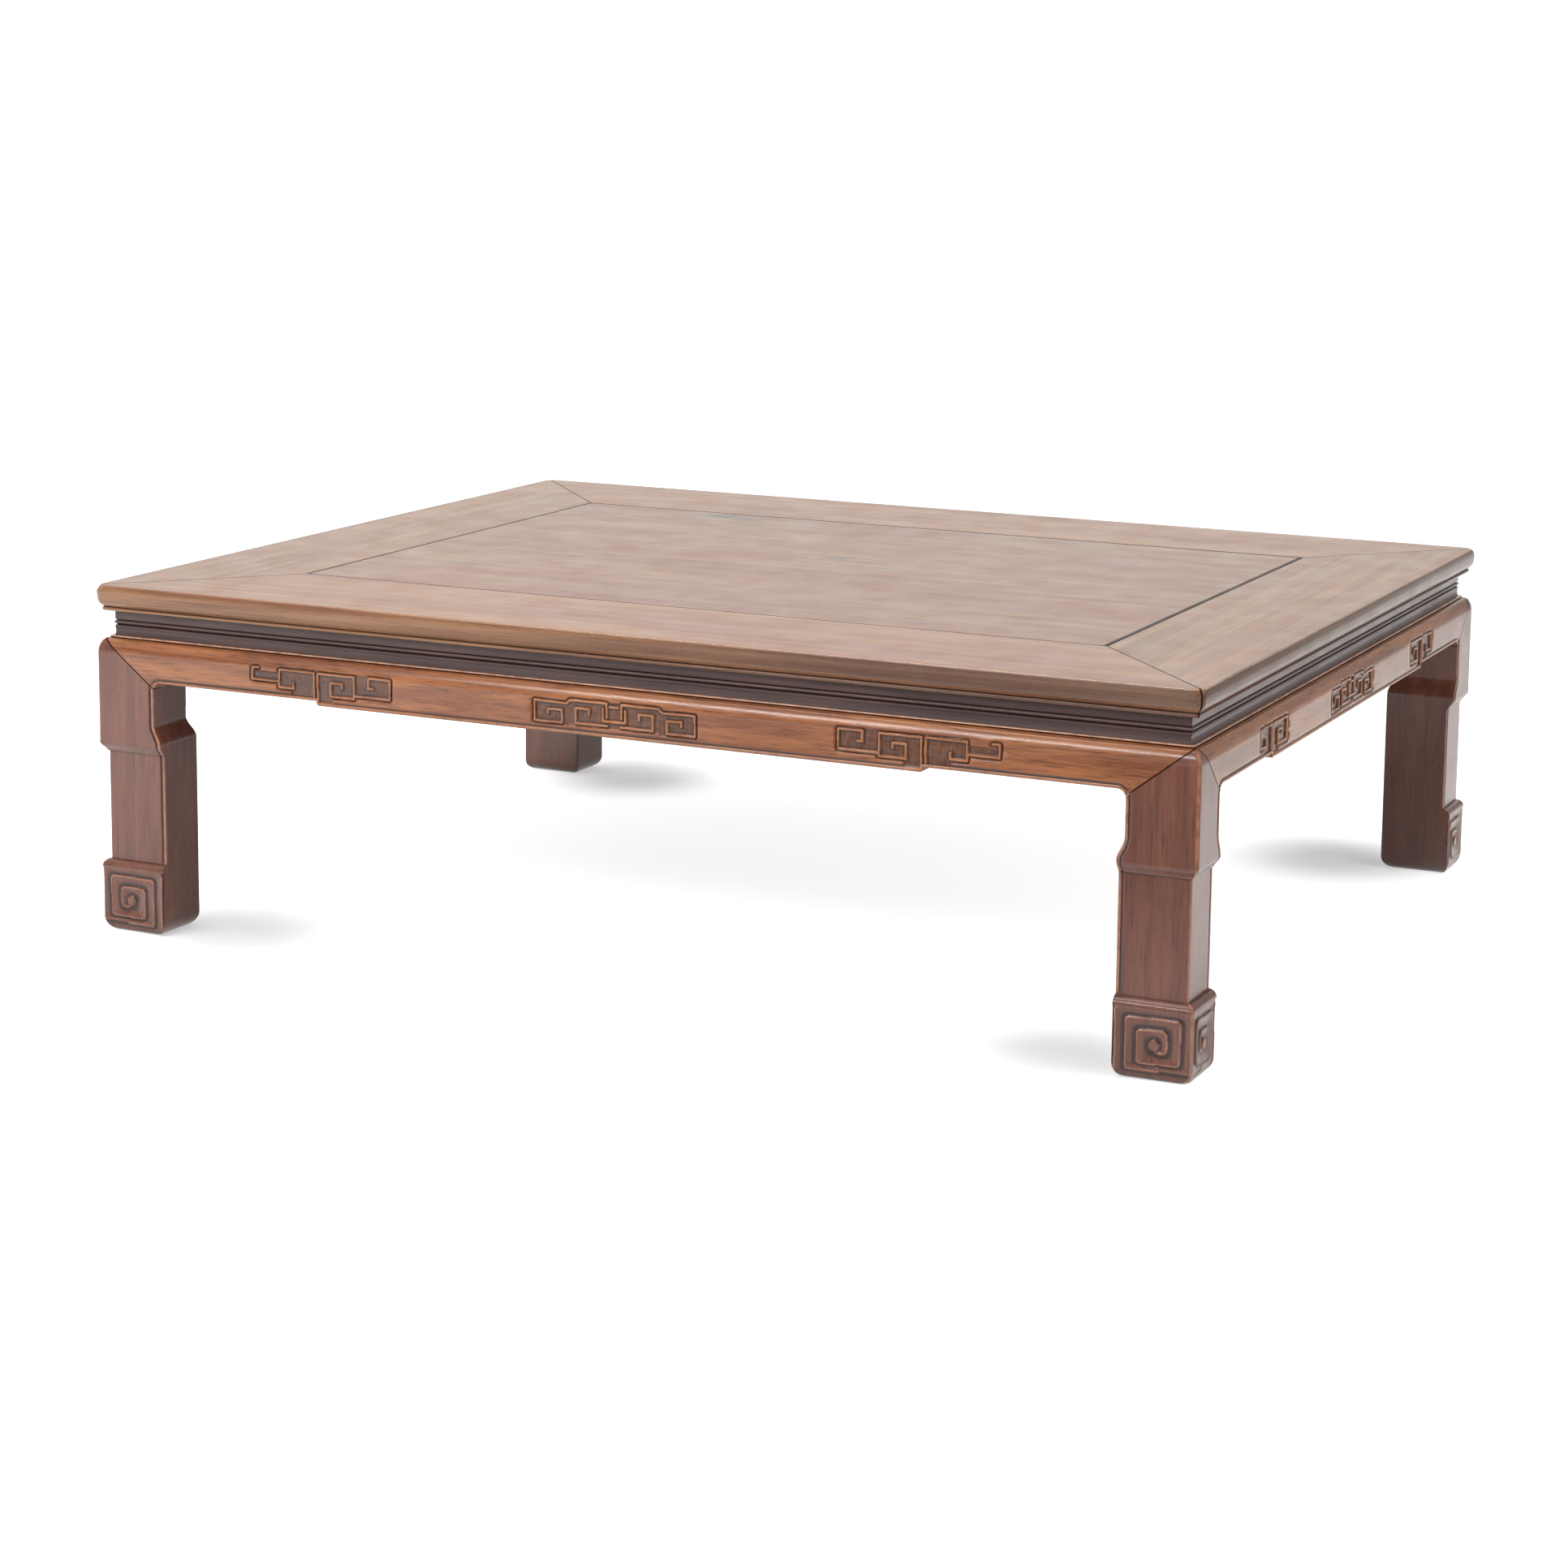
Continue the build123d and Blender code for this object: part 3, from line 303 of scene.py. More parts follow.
def hongmu(name, grain, pale, mid, deep, red, gloss=0.3, coat=0.3, clouds=0.45, shift=0.0, seams=None,
           worn="#b98f68", rub=0.62, pores=0.5, waves=0.1, stains=0.0, figure=(16, 11), streak=(3.2, 34),
           upright_shade=0.0, faded=0.0, painted_light_and_shade=0.0):
    """Hongmu with its grain along one axis. Figure and streak are (width in mm, stretch along it)."""
    material = bpy.data.materials.new(name)
    tree = new_tree(material)
    where = add(tree, "TexCoord").outputs["Object"]
    turned = add(tree, "Mapping", where, (shift, shift * 1.7, shift * 0.6), GRAIN_TURN[grain])

    # Grain at four sizes: board figure, growth streaks, pores and broad clouds.
    colour, grains = mid, {}
    for part, (size, stretch), detail, distortion in (
            ("figure", figure, 6, 0.5), ("streaks", streak, 4, 0.0),
            ("pores", (1.15, 22), 3, 0.0), ("cloud", (80, 3.2), 4, 0.35)):
        drawn = add(tree, "Mapping", turned, scale=(1 / stretch, 1, 1))
        grains[part] = add(tree, "TexNoise", drawn, scale=1 / (size * MM), detail=detail,
                           roughness=0.6, distortion=distortion)
    for part, low, high, strength, tone in (
            ("figure", 0.34, 0.66, 1.0, pale), ("cloud", 0.46, 0.66, clouds, red),
            ("streaks", 0.48, 0.74, 0.6, deep), ("pores", 0.55, 0.72, pores, deep)):
        amount = add(tree, "MapRange", grains[part], low, high, 0.0, strength, **SOFTLY)
        colour = add(tree, "Mix", amount, colour, tone, data_type="RGBA")

    # Old spills, then painted light and shade: upright faces tinted cooler and darker towards the
    # right, faces turned up paler and faces turned down darker, and a grey sheen on the feet.
    if stains:
        drawn = add(tree, "Mapping", turned, scale=(0.4, 1, 1))
        blot = add(tree, "TexNoise", drawn, scale=1 / (48 * MM), detail=3)
        amount = add(tree, "MapRange", blot, 0.64, 0.74, 0.0, stains, **SOFTLY)
        colour = add(tree, "Mix", amount, colour, STAIN, data_type="RGBA")
    facing = add(tree, "SeparateXYZ", add(tree, "NewGeometry").outputs["Normal"]).outputs[2]
    # Painted shade: upright faces are tinted cooler and darker, more so towards the right.
    if upright_shade:
        amount = add(tree, "Math", facing, operation="ABSOLUTE")
        amount = add(tree, "MapRange", amount, 0.3, 0.9, 1.0, 0.0, **SOFTLY)
        stronger_to_right = add(tree, "MapRange", add(tree, "SeparateXYZ", where), -0.15, 0.3, 0.3, upright_shade, **SOFTLY)
        amount = add(tree, "Math", amount, stronger_to_right, operation="MULTIPLY")
        colour = add(tree, "Mix", amount, colour, UPRIGHT_SHADE_TINT, data_type="RGBA", blend_type="MULTIPLY")
    # Painted light and shade: faces turned up take the pale worn tone, faces turned down a dark one.
    if painted_light_and_shade:
        amount = add(tree, "MapRange", facing, 0.1, 0.8, 0.0, painted_light_and_shade, **SOFTLY)
        colour = add(tree, "Mix", amount, colour, worn, data_type="RGBA")
        amount = add(tree, "MapRange", facing, -0.6, -0.08, 0.85, 0.0, **SOFTLY)
        colour = add(tree, "Mix", amount, colour, PAINTED_UNDERSHADE, data_type="RGBA")
    # A painted sheen: the feet near the floor are tinted grey.
    if faded:
        height = add(tree, "SeparateXYZ", where).outputs[2]
        amount = add(tree, "MapRange", height, 0.058, 0.066, faded, 0.0, **SOFTLY)
        colour = add(tree, "Mix", amount, colour, FOOT_SHEEN_GREY, data_type="RGBA")

    # Wax stays dark in every recess, and points marked below 0 darken with it, as wax and in places
    # as painted shade. Points marked above 0 are painted bright, as wear and in places as a painted
    # highlight, and open seams are near black. The deepest grooves and the seams mirror nothing.
    # This attribute carries wear and wax, and also painted highlights and painted shade.
    carving = add(tree, "Attribute", attribute_name="carving").outputs["Fac"]
    recess = add(tree, "AmbientOcclusion", None, 0.005, samples=6).outputs["AO"]
    dark = add(tree, "Math", add(tree, "MapRange", carving, -0.78, -0.1, 0.88, 0.0, **SOFTLY),
               add(tree, "MapRange", recess, 0.42, 0.9, 0.78, 0.0, **SOFTLY), operation="MAXIMUM")
    colour = add(tree, "Mix", dark, colour, WAX_AND_PAINTED_SHADE, data_type="RGBA")
    patchy = add(tree, "TexNoise", where, scale=1 / (9 * MM), detail=3)
    patchy = add(tree, "MapRange", patchy, 0.3, 0.62, 0.4, 1.0, **SOFTLY)
    # Painted bright here: wear, and in places a painted highlight.
    wear_and_highlight = add(tree, "MapRange", carving, 0.05, 0.8, 0.0, rub, **SOFTLY)
    wear_and_highlight = add(tree, "Math", wear_and_highlight, patchy, operation="MULTIPLY")
    colour = add(tree, "Mix", wear_and_highlight, colour, worn, data_type="RGBA")
    seam = seams(tree, where) if seams else 0.0
    colour = add(tree, "Mix", seam, colour, OPEN_SEAM, data_type="RGBA")
    dull = add(tree, "MapRange", carving, -1.0, -0.88, 0.9, 0.0, **SOFTLY)
    dull = add(tree, "Math", dull, seam, operation="MAXIMUM")
    mirror = add(tree, "Math", dull, -0.5, 0.5, operation="MULTIPLY_ADD")
    varnish = add(tree, "Math", dull, -coat, coat, operation="MULTIPLY_ADD")

    # A few small chips are pale with old filler.
    chip = add(tree, "TexVoronoi", where, scale=1 / (34 * MM))
    size = add(tree, "MapRange", chip.outputs["Distance"], 0.014, 0.024, 0.75, 0.0, **SOFTLY)
    few = add(tree, "TexNoise", where, scale=1 / (110 * MM))
    few = add(tree, "Math", few, 0.56, operation="GREATER_THAN")
    few = add(tree, "Math", size, few, operation="MULTIPLY")
    colour = add(tree, "Mix", few, colour, OLD_FILLER, data_type="RGBA")

    # Gloss and the plane's soft waves vary along the boards, and pores are fine dents.
    smear = add(tree, "TexNoise", turned, scale=1 / (40 * MM), detail=3)
    rough = add(tree, "MapRange", smear, 0.3, 0.7, gloss - 0.05, gloss + 0.06, clamp=False)
    rough = add(tree, "Math", dark, 0.12, rough, operation="MULTIPLY_ADD")
    pore_bump = add(tree, "Bump", height=grains["pores"], strength=0.2, distance=0.00025)
    bump = add(tree, "Bump", height=smear, normal=pore_bump, strength=waves, distance=0.0012)
    bsdf = add(tree, "BsdfPrincipled", base_color=colour, roughness=rough, normal=bump,
               specular_ior_level=mirror, coat_weight=varnish, coat_roughness=gloss * 0.75)
    add(tree, "OutputMaterial", bsdf)
    return material


print("grain can run along", ", ".join(GRAIN_TURN))

# %% [markdown]
# One recipe serves all the wood, because it is one tree's wood under one polish. What differs is
# where a board was handled and waxed, and where light and shade are painted on. The top is planed
# flat and mirrors the room. Aprons and legs are redder under a thicker coat. The waist is nearly
# black with wax, the thin moulding is painted bright as a highlight, and inner faces are bare.

# %% Finishes
POLISHED = dict(gloss=0.27, coat=0.2, waves=0.02)
# The frame's near-white worn tone marks wear on the arris and a painted highlight there.
FRAME_TONES = dict(POLISHED, pale="#a2724c", mid="#855639", deep="#4b2a19", red="#834a30", worn="#efe2d4",
                   rub=0.32, figure=(14, 24), streak=(2.6, 60), upright_shade=1.0)
RAIL_TONES = dict(FRAME_TONES, pale="#9a704c", mid="#7d5439")
APRON_TONES = dict(pale="#a7683d", mid="#80482a", deep="#3f2014", red="#6d3a24", worn="#b27f5c", rub=0.5,
                   gloss=0.25, coat=0.45, waves=0.04, pores=0.75, figure=(13, 12), streak=(1.9, 14),
                   seams=shoulder_seams)
WAIST_TONES = dict(pale="#543e3b", mid="#433130", deep="#30221f", red="#4c3430", worn="#8a6f66", rub=0.5,
                   painted_light_and_shade=0.3, pores=0.25)
# The roll's pale worn tone, strongly mixed, paints a highlight along its top.
ROLL_TONES = dict(pale="#a1664a", mid="#7a4632", deep="#44271c", red="#693726", worn="#d0a488", rub=0.85,
                  gloss=0.24)
frame_long = hongmu("polished_hongmu_frame_long", "X", seams=top_seams, shift=0.3, **FRAME_TONES)
frame_short = hongmu("polished_hongmu_frame_short", "Y", seams=top_seams, shift=1.1, **RAIL_TONES)
panel_wood = hongmu("polished_hongmu_panel", "X", "#966c4b", "#7c5139", "#3d2217", "#813b2d",
                    seams=panel_gap, shift=2.3, stains=0.7, clouds=0.58, figure=(15, 30),
                    streak=(2.8, 60), pores=0.35, **POLISHED)
apron_x = hongmu("waxed_hongmu_apron_long", "X", shift=0.7, **APRON_TONES)
apron_y = hongmu("waxed_hongmu_apron_short", "Y", shift=1.9, **APRON_TONES)
leg_wood = hongmu("waxed_hongmu_leg", "Z", "#7c4a38", "#693e30", "#3f2620", "#5f3329",
                  seams=shoulder_seams, gloss=0.25, coat=0.45, waves=0.03, worn="#b27a5e", rub=0.75,
                  shift=0.4, pores=0.75, figure=(9, 16), streak=(1.5, 24), faded=0.06)
waist_x = hongmu("dark_hongmu_waist_long", "X", shift=0.9, gloss=0.4, coat=0.05, **WAIST_TONES)
waist_y = hongmu("dark_hongmu_waist_short", "Y", shift=1.4, gloss=0.3, coat=0.3, **WAIST_TONES)
roll_x = hongmu("waxed_hongmu_moulding_long", "X", shift=0.2, **ROLL_TONES)
roll_y = hongmu("waxed_hongmu_moulding_short", "Y", shift=0.6, **ROLL_TONES)
inner_wood = hongmu("bare_hongmu_underside", "Y", "#7b5c46", "#5b4232", "#3a2a20", "#553527",
                    gloss=0.6, coat=0.0)
key_wood = hongmu("bare_hongmu_end_grain", "Z", "#9b8571", "#7d6856", "#54453a", "#6d5547",
                  gloss=0.65, coat=0.0)
print(len([m for m in bpy.data.materials if "hongmu" in m.name]), "finishes of hongmu")

# %% [markdown]
# Each piece that came with the frame takes the finish of its kind. On front and back pieces the
# grain runs along X, and on the short sides along Y, as it does on boards cut for those places.
# The pieces that are carved anew further down take the same finishes.

# %% Dress the pieces
def dress(piece, wood):
    """Give a piece one finish."""
    piece.data.materials.clear()
    piece.data.materials.append(wood)


finish = {}
for name in nodes:
    long_piece = name.endswith(("front", "back"))
    if name.startswith("top_"):
        finish[name] = frame_long if long_piece else frame_short
    elif name == "centre_panel":
        finish[name] = panel_wood
    elif name.startswith("waist"):
        finish[name] = waist_x if long_piece else waist_y
    elif name.startswith("torus"):
        finish[name] = roll_x if long_piece else roll_y
    elif name.startswith("apron"):
        finish[name] = apron_x if long_piece else apron_y
    elif name.startswith("leg"):
        finish[name] = leg_wood
    else:
        finish[name] = key_wood if name.startswith("dovetail") else inner_wood
for name, piece in nodes.items():
    dress(piece, finish[name])
print(len(finish), "pieces dressed in", len(set(finish.values())), "finishes")

# %% [markdown]
# The carved pieces start as flat grids, as a carver starts with a planed board. Their points
# are then moved by a depth worked out for each point: how far it lies from the drawn lines of
# the ornament. Sculpting would give the same look, but not the same crisp lines each time.

# %% Depths for carving
FACE, BACK = 1.2, 19.2                      # insets of an apron's face and back
SHOULDER_LOW, TURN = 246.1, 256.2           # where the face starts to lean in, and to curl over
LEAN = 19.616                               # radius of the lean
APRON_LOW, MIDDLE_LOW = 223.8, 219.8        # lower edge near the legs and in the middle
STEP_X, STEP_Y = 275.5, 220.0               # half lengths of the lower middle part
JAMB_X, JAMB_Y = HALF_LENGTH - BLOCK_X, HALF_WIDTH - BLOCK_Y
STEP_ROUND, JAMB_ROUND = 2.5, 7.0           # radii of the corners of the open shape
BLOCK_LOW, SWELL, SETBACK = 187.0, 18.0, 6.3     # a leg narrows by the setback below its block
BEAD = 2.8                                  # width of the bead along the open shape
FULL_TURN = 6.283                           # radians


def ease(t):
    """From 0 to 1 with soft ends."""
    t = np.clip(t, 0, 1)
    return t * t * (3 - 2 * t)


def line_distance(u, z, run):
    """Distance of each point from a run of straight lines."""
    best = np.full(np.shape(u), 1e3)
    for (u0, z0), (u1, z1) in zip(run, run[1:]):
        du, dz = u1 - u0, z1 - z0
        t = np.clip(((u - u0) * du + (z - z0) * dz) / (du * du + dz * dz + 1e-9), 0, 1)
        best = np.minimum(best, np.hypot(u - u0 - t * du, z - z0 - t * dz))
    return best


def box_distance(u, z, box):
    """Distance of each point from a rectangle, nothing inside it."""
    left, right_end, low, high = box
    return np.hypot(np.maximum(np.maximum(left - u, u - right_end), 0),
                    np.maximum(np.maximum(low - z, z - high), 0))


def ripple(u, z, size, seed):
    """Soft unevenness of hand work, between about -1 and 1."""
    dice = random.Random(seed)
    total = np.zeros(np.shape(u))
    for _ in range(7):
        angle, stretch = dice.uniform(0, FULL_TURN), dice.uniform(0.6, 1.8)
        total += np.sin((u * math.cos(angle) + z * math.sin(angle)) * stretch * FULL_TURN / size
                        + dice.uniform(0, FULL_TURN))
    return total / 3.5


def shoulder(z):
    """Inset of the face and the rounded shoulder above it, at height z."""
    z = np.asarray(z, float)
    return FACE + LEAN - np.sqrt(np.maximum(LEAN ** 2 - np.clip(z - SHOULDER_LOW, 0, 19) ** 2, 0))


def shoulder_rows():
    """(inset, height) pairs up the rounded shoulder, from height 252 to the top."""
    pairs = [(float(shoulder(z)), z) for z in np.linspace(251.9, TURN, 7)]

    # Above the lean, an arc curls over to the top.
    start, radius = math.radians(30.99), 4.948
    centre = (4.0 + radius * math.cos(start), TURN - radius * math.sin(start))
    for step in range(1, 9):
        angle = start + math.radians(59.0) * step / 8
        pairs.append((centre[0] - radius * math.cos(angle), centre[1] + radius * math.sin(angle)))
    pairs[-1] = (MEETING, APRON_TOP)
    return pairs


def opening_edge(jamb, step):
    """Edge of the open shape under one apron, from the middle out and down a leg."""
    start, end = step - STEP_ROUND, jamb - JAMB_ROUND
    run = [(0, MIDDLE_LOW), (start, MIDDLE_LOW)]
    run += [(start + STEP_ROUND * math.sin(a), MIDDLE_LOW + STEP_ROUND - STEP_ROUND * math.cos(a))
            for a in (0.4, 0.8, 1.2, 1.571)]
    run += [(step, APRON_LOW), (end, APRON_LOW)]
    run += [(end + JAMB_ROUND * math.sin(a), APRON_LOW - JAMB_ROUND + JAMB_ROUND * math.cos(a))
            for a in (0.26, 0.52, 0.79, 1.05, 1.31, 1.571)]
    run += [(jamb, BLOCK_LOW)]
    run += [(jamb - SETBACK * float(ease(t)), BLOCK_LOW - SWELL * t) for t in (0.2, 0.4, 0.5, 0.6, 0.8, 1)]
    return run + [(jamb - SETBACK, 0)]


def bead_depth(distance):
    """Rounded bead along an edge and the soft quirk beside it."""
    half = BEAD / 2
    bead = 1 - np.sqrt(np.clip(1 - ((distance - half) / half) ** 2, 0, 1))
    quirk = 0.95 * (1 - ease((distance - 2.9) / 2.6))
    return np.where(distance < BEAD, bead, quirk)


def bead_shade(distance):
    """Polish shade of the bead, bright, and of its quirk, dark."""
    return np.where(distance < 2.6, 0.75 * ease((distance + 0.6) / 1.2),
                    -0.75 * (1 - ease((distance - 3.2) / 2.8)))


print("shoulder rises to", shoulder_rows()[-1])

# %% [markdown]
# Each apron's frets are thin lines left standing while the ground beside them is cut back.
# The lines are given as (distance from the middle, height), for one half of an apron, and the
# sunk ground as boxes of (nearest, furthest, lowest, highest). Drawing them as numbers keeps
# every line as crisp as a chisel's, and lets the long and the short aprons share a motif.

# %% Fret lines
def hooks(step, reach_out, reach_in):
    """Lines of the two frets beside the step in the lower edge."""
    return [
        [(step + reach_in, 237.3), (step + reach_in, 232.3), (step + reach_out, 232.3),
         (step + reach_out, 247.3), (step + 2.0, 247.3), (step + 2.0, 225.2)],
        [(step - 25.5, 236.5), (step - 25.5, 240.4), (step - 14.3, 240.4), (step - 14.3, 228.9),
         (step - 37.0, 228.9), (step - 37.0, 247.1), (step - 1.7, 247.1), (step - 1.7, 222)],
    ]


LONG_LINES = hooks(STEP_X, 36.5, 22.5) + [
    [(312, 237.2), (339, 237.2), (339, 247.5), (333, 247.5)],
    [(220, 239), (224.3, 239), (224.3, 247.4), (203.7, 247.4), (203.7, 231.4), (238, 231.4)],
]
LONG_GROUND = [(277.5, 298, 226, 247.3), (277.5, 312, 232.3, 247.3), (312, 339, 237.2, 242.5),
               (238.5, 262, 228.9, 247.1), (261, 273.8, 224.6, 247.1), (203.7, 238.5, 231.4, 247.4)]
SIDE_LINES = hooks(STEP_Y, 30.7, 16.5)
SIDE_GROUND = [(222, 236, 226, 247.8), (222, 250.7, 233.5, 247.8), (183.5, 208, 229.5, 247.8),
               (206, 218.5, 224.6, 247.8)]
MOTIF_LINES = [
    [(6.8, 236), (6.8, 247.5), (40.4, 247.5), (43.7, 244.4), (72.8, 244.8), (72.8, 228),
     (47.7, 228.2), (47.7, 238.5), (60.4, 238.6), (60.4, 235)],
    [(22.6, 236.7), (22.6, 241.3), (35, 241.3), (35, 229), (6, 229.2)],
    [(10.1, 243), (10.1, 233), (0, 233)],
    [(0, 245), (4, 245)],
]
MOTIF_GROUND = [(0, 40.4, 229.2, 246.5), (43, 72.8, 228, 244.4), (36, 47, 231, 243)]


def fret_depth(u, z, long_side):
    """Depth cut into an apron's face by its frets, and the shade of the old polish there."""
    wobble = 0.22 * ripple(u, z, 23, 5)
    lines, ground = (LONG_LINES, LONG_GROUND) if long_side else (SIDE_LINES, SIDE_GROUND)
    scale, shift = (1.0, 6.5) if long_side else (0.81, 0.0)     # of the motif in the middle
    near, sunk = np.full(np.shape(u), 1e3), np.full(np.shape(u), 1e3)
    for run in lines:
        near = np.minimum(near, line_distance(np.abs(u) + wobble, z + 0.6 * wobble, run))
    for box in ground:
        sunk = np.minimum(sunk, box_distance(np.abs(u), z, box))
    across = np.abs(u - shift)
    for run in MOTIF_LINES:
        run = [(along * scale, height) for along, height in run]
        near = np.minimum(near, line_distance(across + wobble, z + 0.6 * wobble, run))
    for left, right_end, low, high in MOTIF_GROUND:
        sunk = np.minimum(sunk, box_distance(across, z, (left * scale, right_end * scale, low, high)))
    floor_level = 1 - ease((np.minimum(sunk, near - 0.5) - 0.7) / 2.4)
    deep = floor_level * (1.75 + 0.12 * ripple(u, z, 6, 9))
    ridge = ease((1.55 - near) / 0.95)
    shade = 0.9 * ridge - (1 - ridge) * floor_level * (0.55 + 0.45 * ease((3.2 - near) / 2.2))
    return deep * (1 - ridge) + 0.1 * ridge, shade


print(len(LONG_LINES), "fret lines on each half of a long apron")

# %% [markdown]
# Every carved piece goes through the same steps. A grid primitive takes the worked-out places
# of its points, and each point keeps a polish shade. The piece is bisected at its joints, its
# doubles are merged, its faces are turned outwards and its shading is smoothed up to an angle,
# so that soft curves stay soft and mitres stay crisp.

# %% Tools for carved pieces
MERGE = 0.000004                            # metres


def shape_grid(name, places):
    """A grid primitive whose points take the given places (rows, columns, xyz) in millimetres."""
    rows, columns, _ = places.shape
    bpy.ops.object.select_all(action="DESELECT")
    bpy.ops.mesh.primitive_grid_add(x_subdivisions=columns - 1, y_subdivisions=rows - 1, size=1)
    piece = bpy.context.object
    piece.name = name
    piece.data.name = name
    for layer in list(piece.data.uv_layers):
        piece.data.uv_layers.remove(layer)
    piece.data.vertices.foreach_set("co", (places * MM).astype(np.float32).ravel())
    piece.data.update()
    return piece


def add_shade(piece, values):
    """Keep each point's polish shade: above 0 bright with wear and painted highlight, below 0 dark with wax
    and painted shade.
    """
    shade = piece.data.attributes.new("carving", "FLOAT", "POINT")
    shade.data.foreach_set("value", values.astype(np.float32).ravel())


def edit_all():
    """Edit mode on the active piece, with everything selected."""
    bpy.ops.object.mode_set(mode="EDIT")
    bpy.ops.mesh.select_all(action="SELECT")


def cut(point, normal):
    """Bisect and fill the active piece: what lies on the normal's side goes. Millimetres."""
    edit_all()
    bpy.ops.mesh.bisect(plane_co=[c * MM for c in point], plane_no=Vector(normal).normalized(),
                        use_fill=True, clear_outer=True)
    bpy.ops.object.mode_set(mode="OBJECT")


def outward_and_smooth():
    """Merge the active piece's doubles, turn its faces outwards and smooth it."""
    edit_all()
    bpy.ops.mesh.remove_doubles(threshold=MERGE)
    bpy.ops.mesh.select_all(action="SELECT")
    bpy.ops.mesh.normals_make_consistent(inside=False)
    bpy.ops.object.mode_set(mode="OBJECT")
    bpy.ops.object.shade_smooth_by_angle(angle=math.radians(34))


def own_copy(piece, name, change):
    """A copy with its own mesh, moved by a matrix."""
    twin = piece.copy()
    twin.data = piece.data.copy()
    twin.name = twin.data.name = name
    scene.collection.objects.link(twin)
    twin.data.transform(change)
    return twin


def make_active(piece):
    """Select a piece and let the operators act on it."""
    piece.select_set(True)
    bpy.context.view_layer.objects.active = piece


print("doubles merge within", MERGE / MM, "mm")

# %% [markdown]
# An apron is one long board. Its face is a grid whose lower row follows the stepped edge, its
# border is extruded back to the board's thickness and filled, and its ends are bisected along
# the sloping mitre with the leg and the hidden upright mitre behind the corner. Columns and rows
# are close together only where there is carving, which keeps the mesh light.

# %% Aprons
FINE, COARSE = 0.56, 5.0                    # spacing of the grid's lines
FRET_LOW, FRET_HIGH = 228.4, 251.6          # heights of the evenly spaced rows
END_LOW = 208.0                             # below the sloping mitre at an apron's ends
HAIRLINE = 0.12                             # apron and leg each stop this far from their mitre


def spaced(zones, end, fine, coarse):
    """Column places from -end to end: fine inside the zones, coarse between them."""
    places, u = [-end], -end
    while u < end - 1e-6:
        inside = any(left - fine <= u < right_end for left, right_end in zones)
        ahead = [left for left, _ in zones if left > u + 1e-6] + [end]
        u = min(u + (fine if inside else coarse), end if inside else min(ahead))
        places.append(u)
    return np.array(places)


def carve_apron(name, long_side):
    """One apron, made at the front. A short one is turned to its side afterwards."""
    half_run, half_span = (HALF_LENGTH, HALF_WIDTH) if long_side else (HALF_WIDTH, HALF_LENGTH)
    jamb, step = (JAMB_X, STEP_X) if long_side else (JAMB_Y, STEP_Y)
    if long_side:
        carved_zones = [(-342, -200), (-69, 83), (200, 342)]
    else:
        carved_zones = [(-254, -180), (-62, 62), (180, 254)]
    corners = [(-jamb - 1, -jamb + 9), (jamb - 9, jamb + 1)]
    columns = spaced(sorted(carved_zones + corners), half_run - 4, FINE, COARSE)
    columns = np.sort(np.concatenate([columns, [-step - 0.03, -step, step, step + 0.03]]))
    across = np.abs(columns)
    low = np.where(across <= step, MIDDLE_LOW, APRON_LOW)
    rise = np.clip(across - (step - STEP_ROUND), 0, STEP_ROUND)
    low = low + np.where(across <= step, STEP_ROUND - np.sqrt(STEP_ROUND ** 2 - rise ** 2), 0)
    turn_in = np.clip(across - (jamb - JAMB_ROUND), 0, JAMB_ROUND)
    drop = JAMB_ROUND - np.sqrt(JAMB_ROUND ** 2 - turn_in ** 2)
    low = low - np.where(across > jamb - JAMB_ROUND, drop, 0)
    low = np.where(across > jamb + 0.01, END_LOW, low)
    heights = [low + (FRET_LOW - low) * q for q in np.linspace(0, 1, 15)]
    heights += [np.full_like(low, z) for z in np.arange(FRET_LOW + FINE, FRET_HIGH, FINE)]
    upper = shoulder_rows()
    heights += [np.full_like(low, z) for _, z in upper]
    z = np.array(heights)
    u = np.broadcast_to(columns, z.shape)
    inset = shoulder(z)
    inset[-len(upper):] = np.array([i for i, _ in upper])[:, None]
    edge = line_distance(np.abs(u), z, opening_edge(jamb, step))
    carved, shade = fret_depth(u, z, long_side)
    edge_cut = bead_depth(edge)
    depth = np.where(edge < BEAD, edge_cut, np.maximum(carved, edge_cut * (1 - 0.8 * (shade > 0.5))))
    depth = depth + 0.05 * ripple(u, z, 60, 3)
    depth[-len(upper):] = 0
    shade = np.where(np.abs(shade) > 0.25, shade, shade + bead_shade(edge))
    shade = np.where(edge < BEAD, bead_shade(edge), shade)
    out = -(half_span - inset - depth)
    places = np.stack([u, out, z], axis=-1)
    piece = shape_grid(name, places)
    add_shade(piece, np.clip(shade, -1, 1))
    edit_all()
    bpy.ops.mesh.region_to_loop()
    bpy.ops.mesh.extrude_edges_move()
    bpy.ops.transform.resize(value=(1, 0, 1), center_override=(0, -(half_span - BACK) * MM, 0))
    bpy.ops.mesh.edge_face_add()
    bpy.ops.object.mode_set(mode="OBJECT")
    run, other = MITRE_RUNS if long_side else reversed(MITRE_RUNS)
    for side in (-1, 1):
        end = side * (half_run - MEETING)
        cut((end, 0, APRON_TOP + HAIRLINE), (side * MITRE_RISE, 0, -run))
        cut((end, -(half_span - MEETING), 0), (side * other, run, 0))
    outward_and_smooth()
    print(name, len(piece.data.polygons), "faces")
    return piece


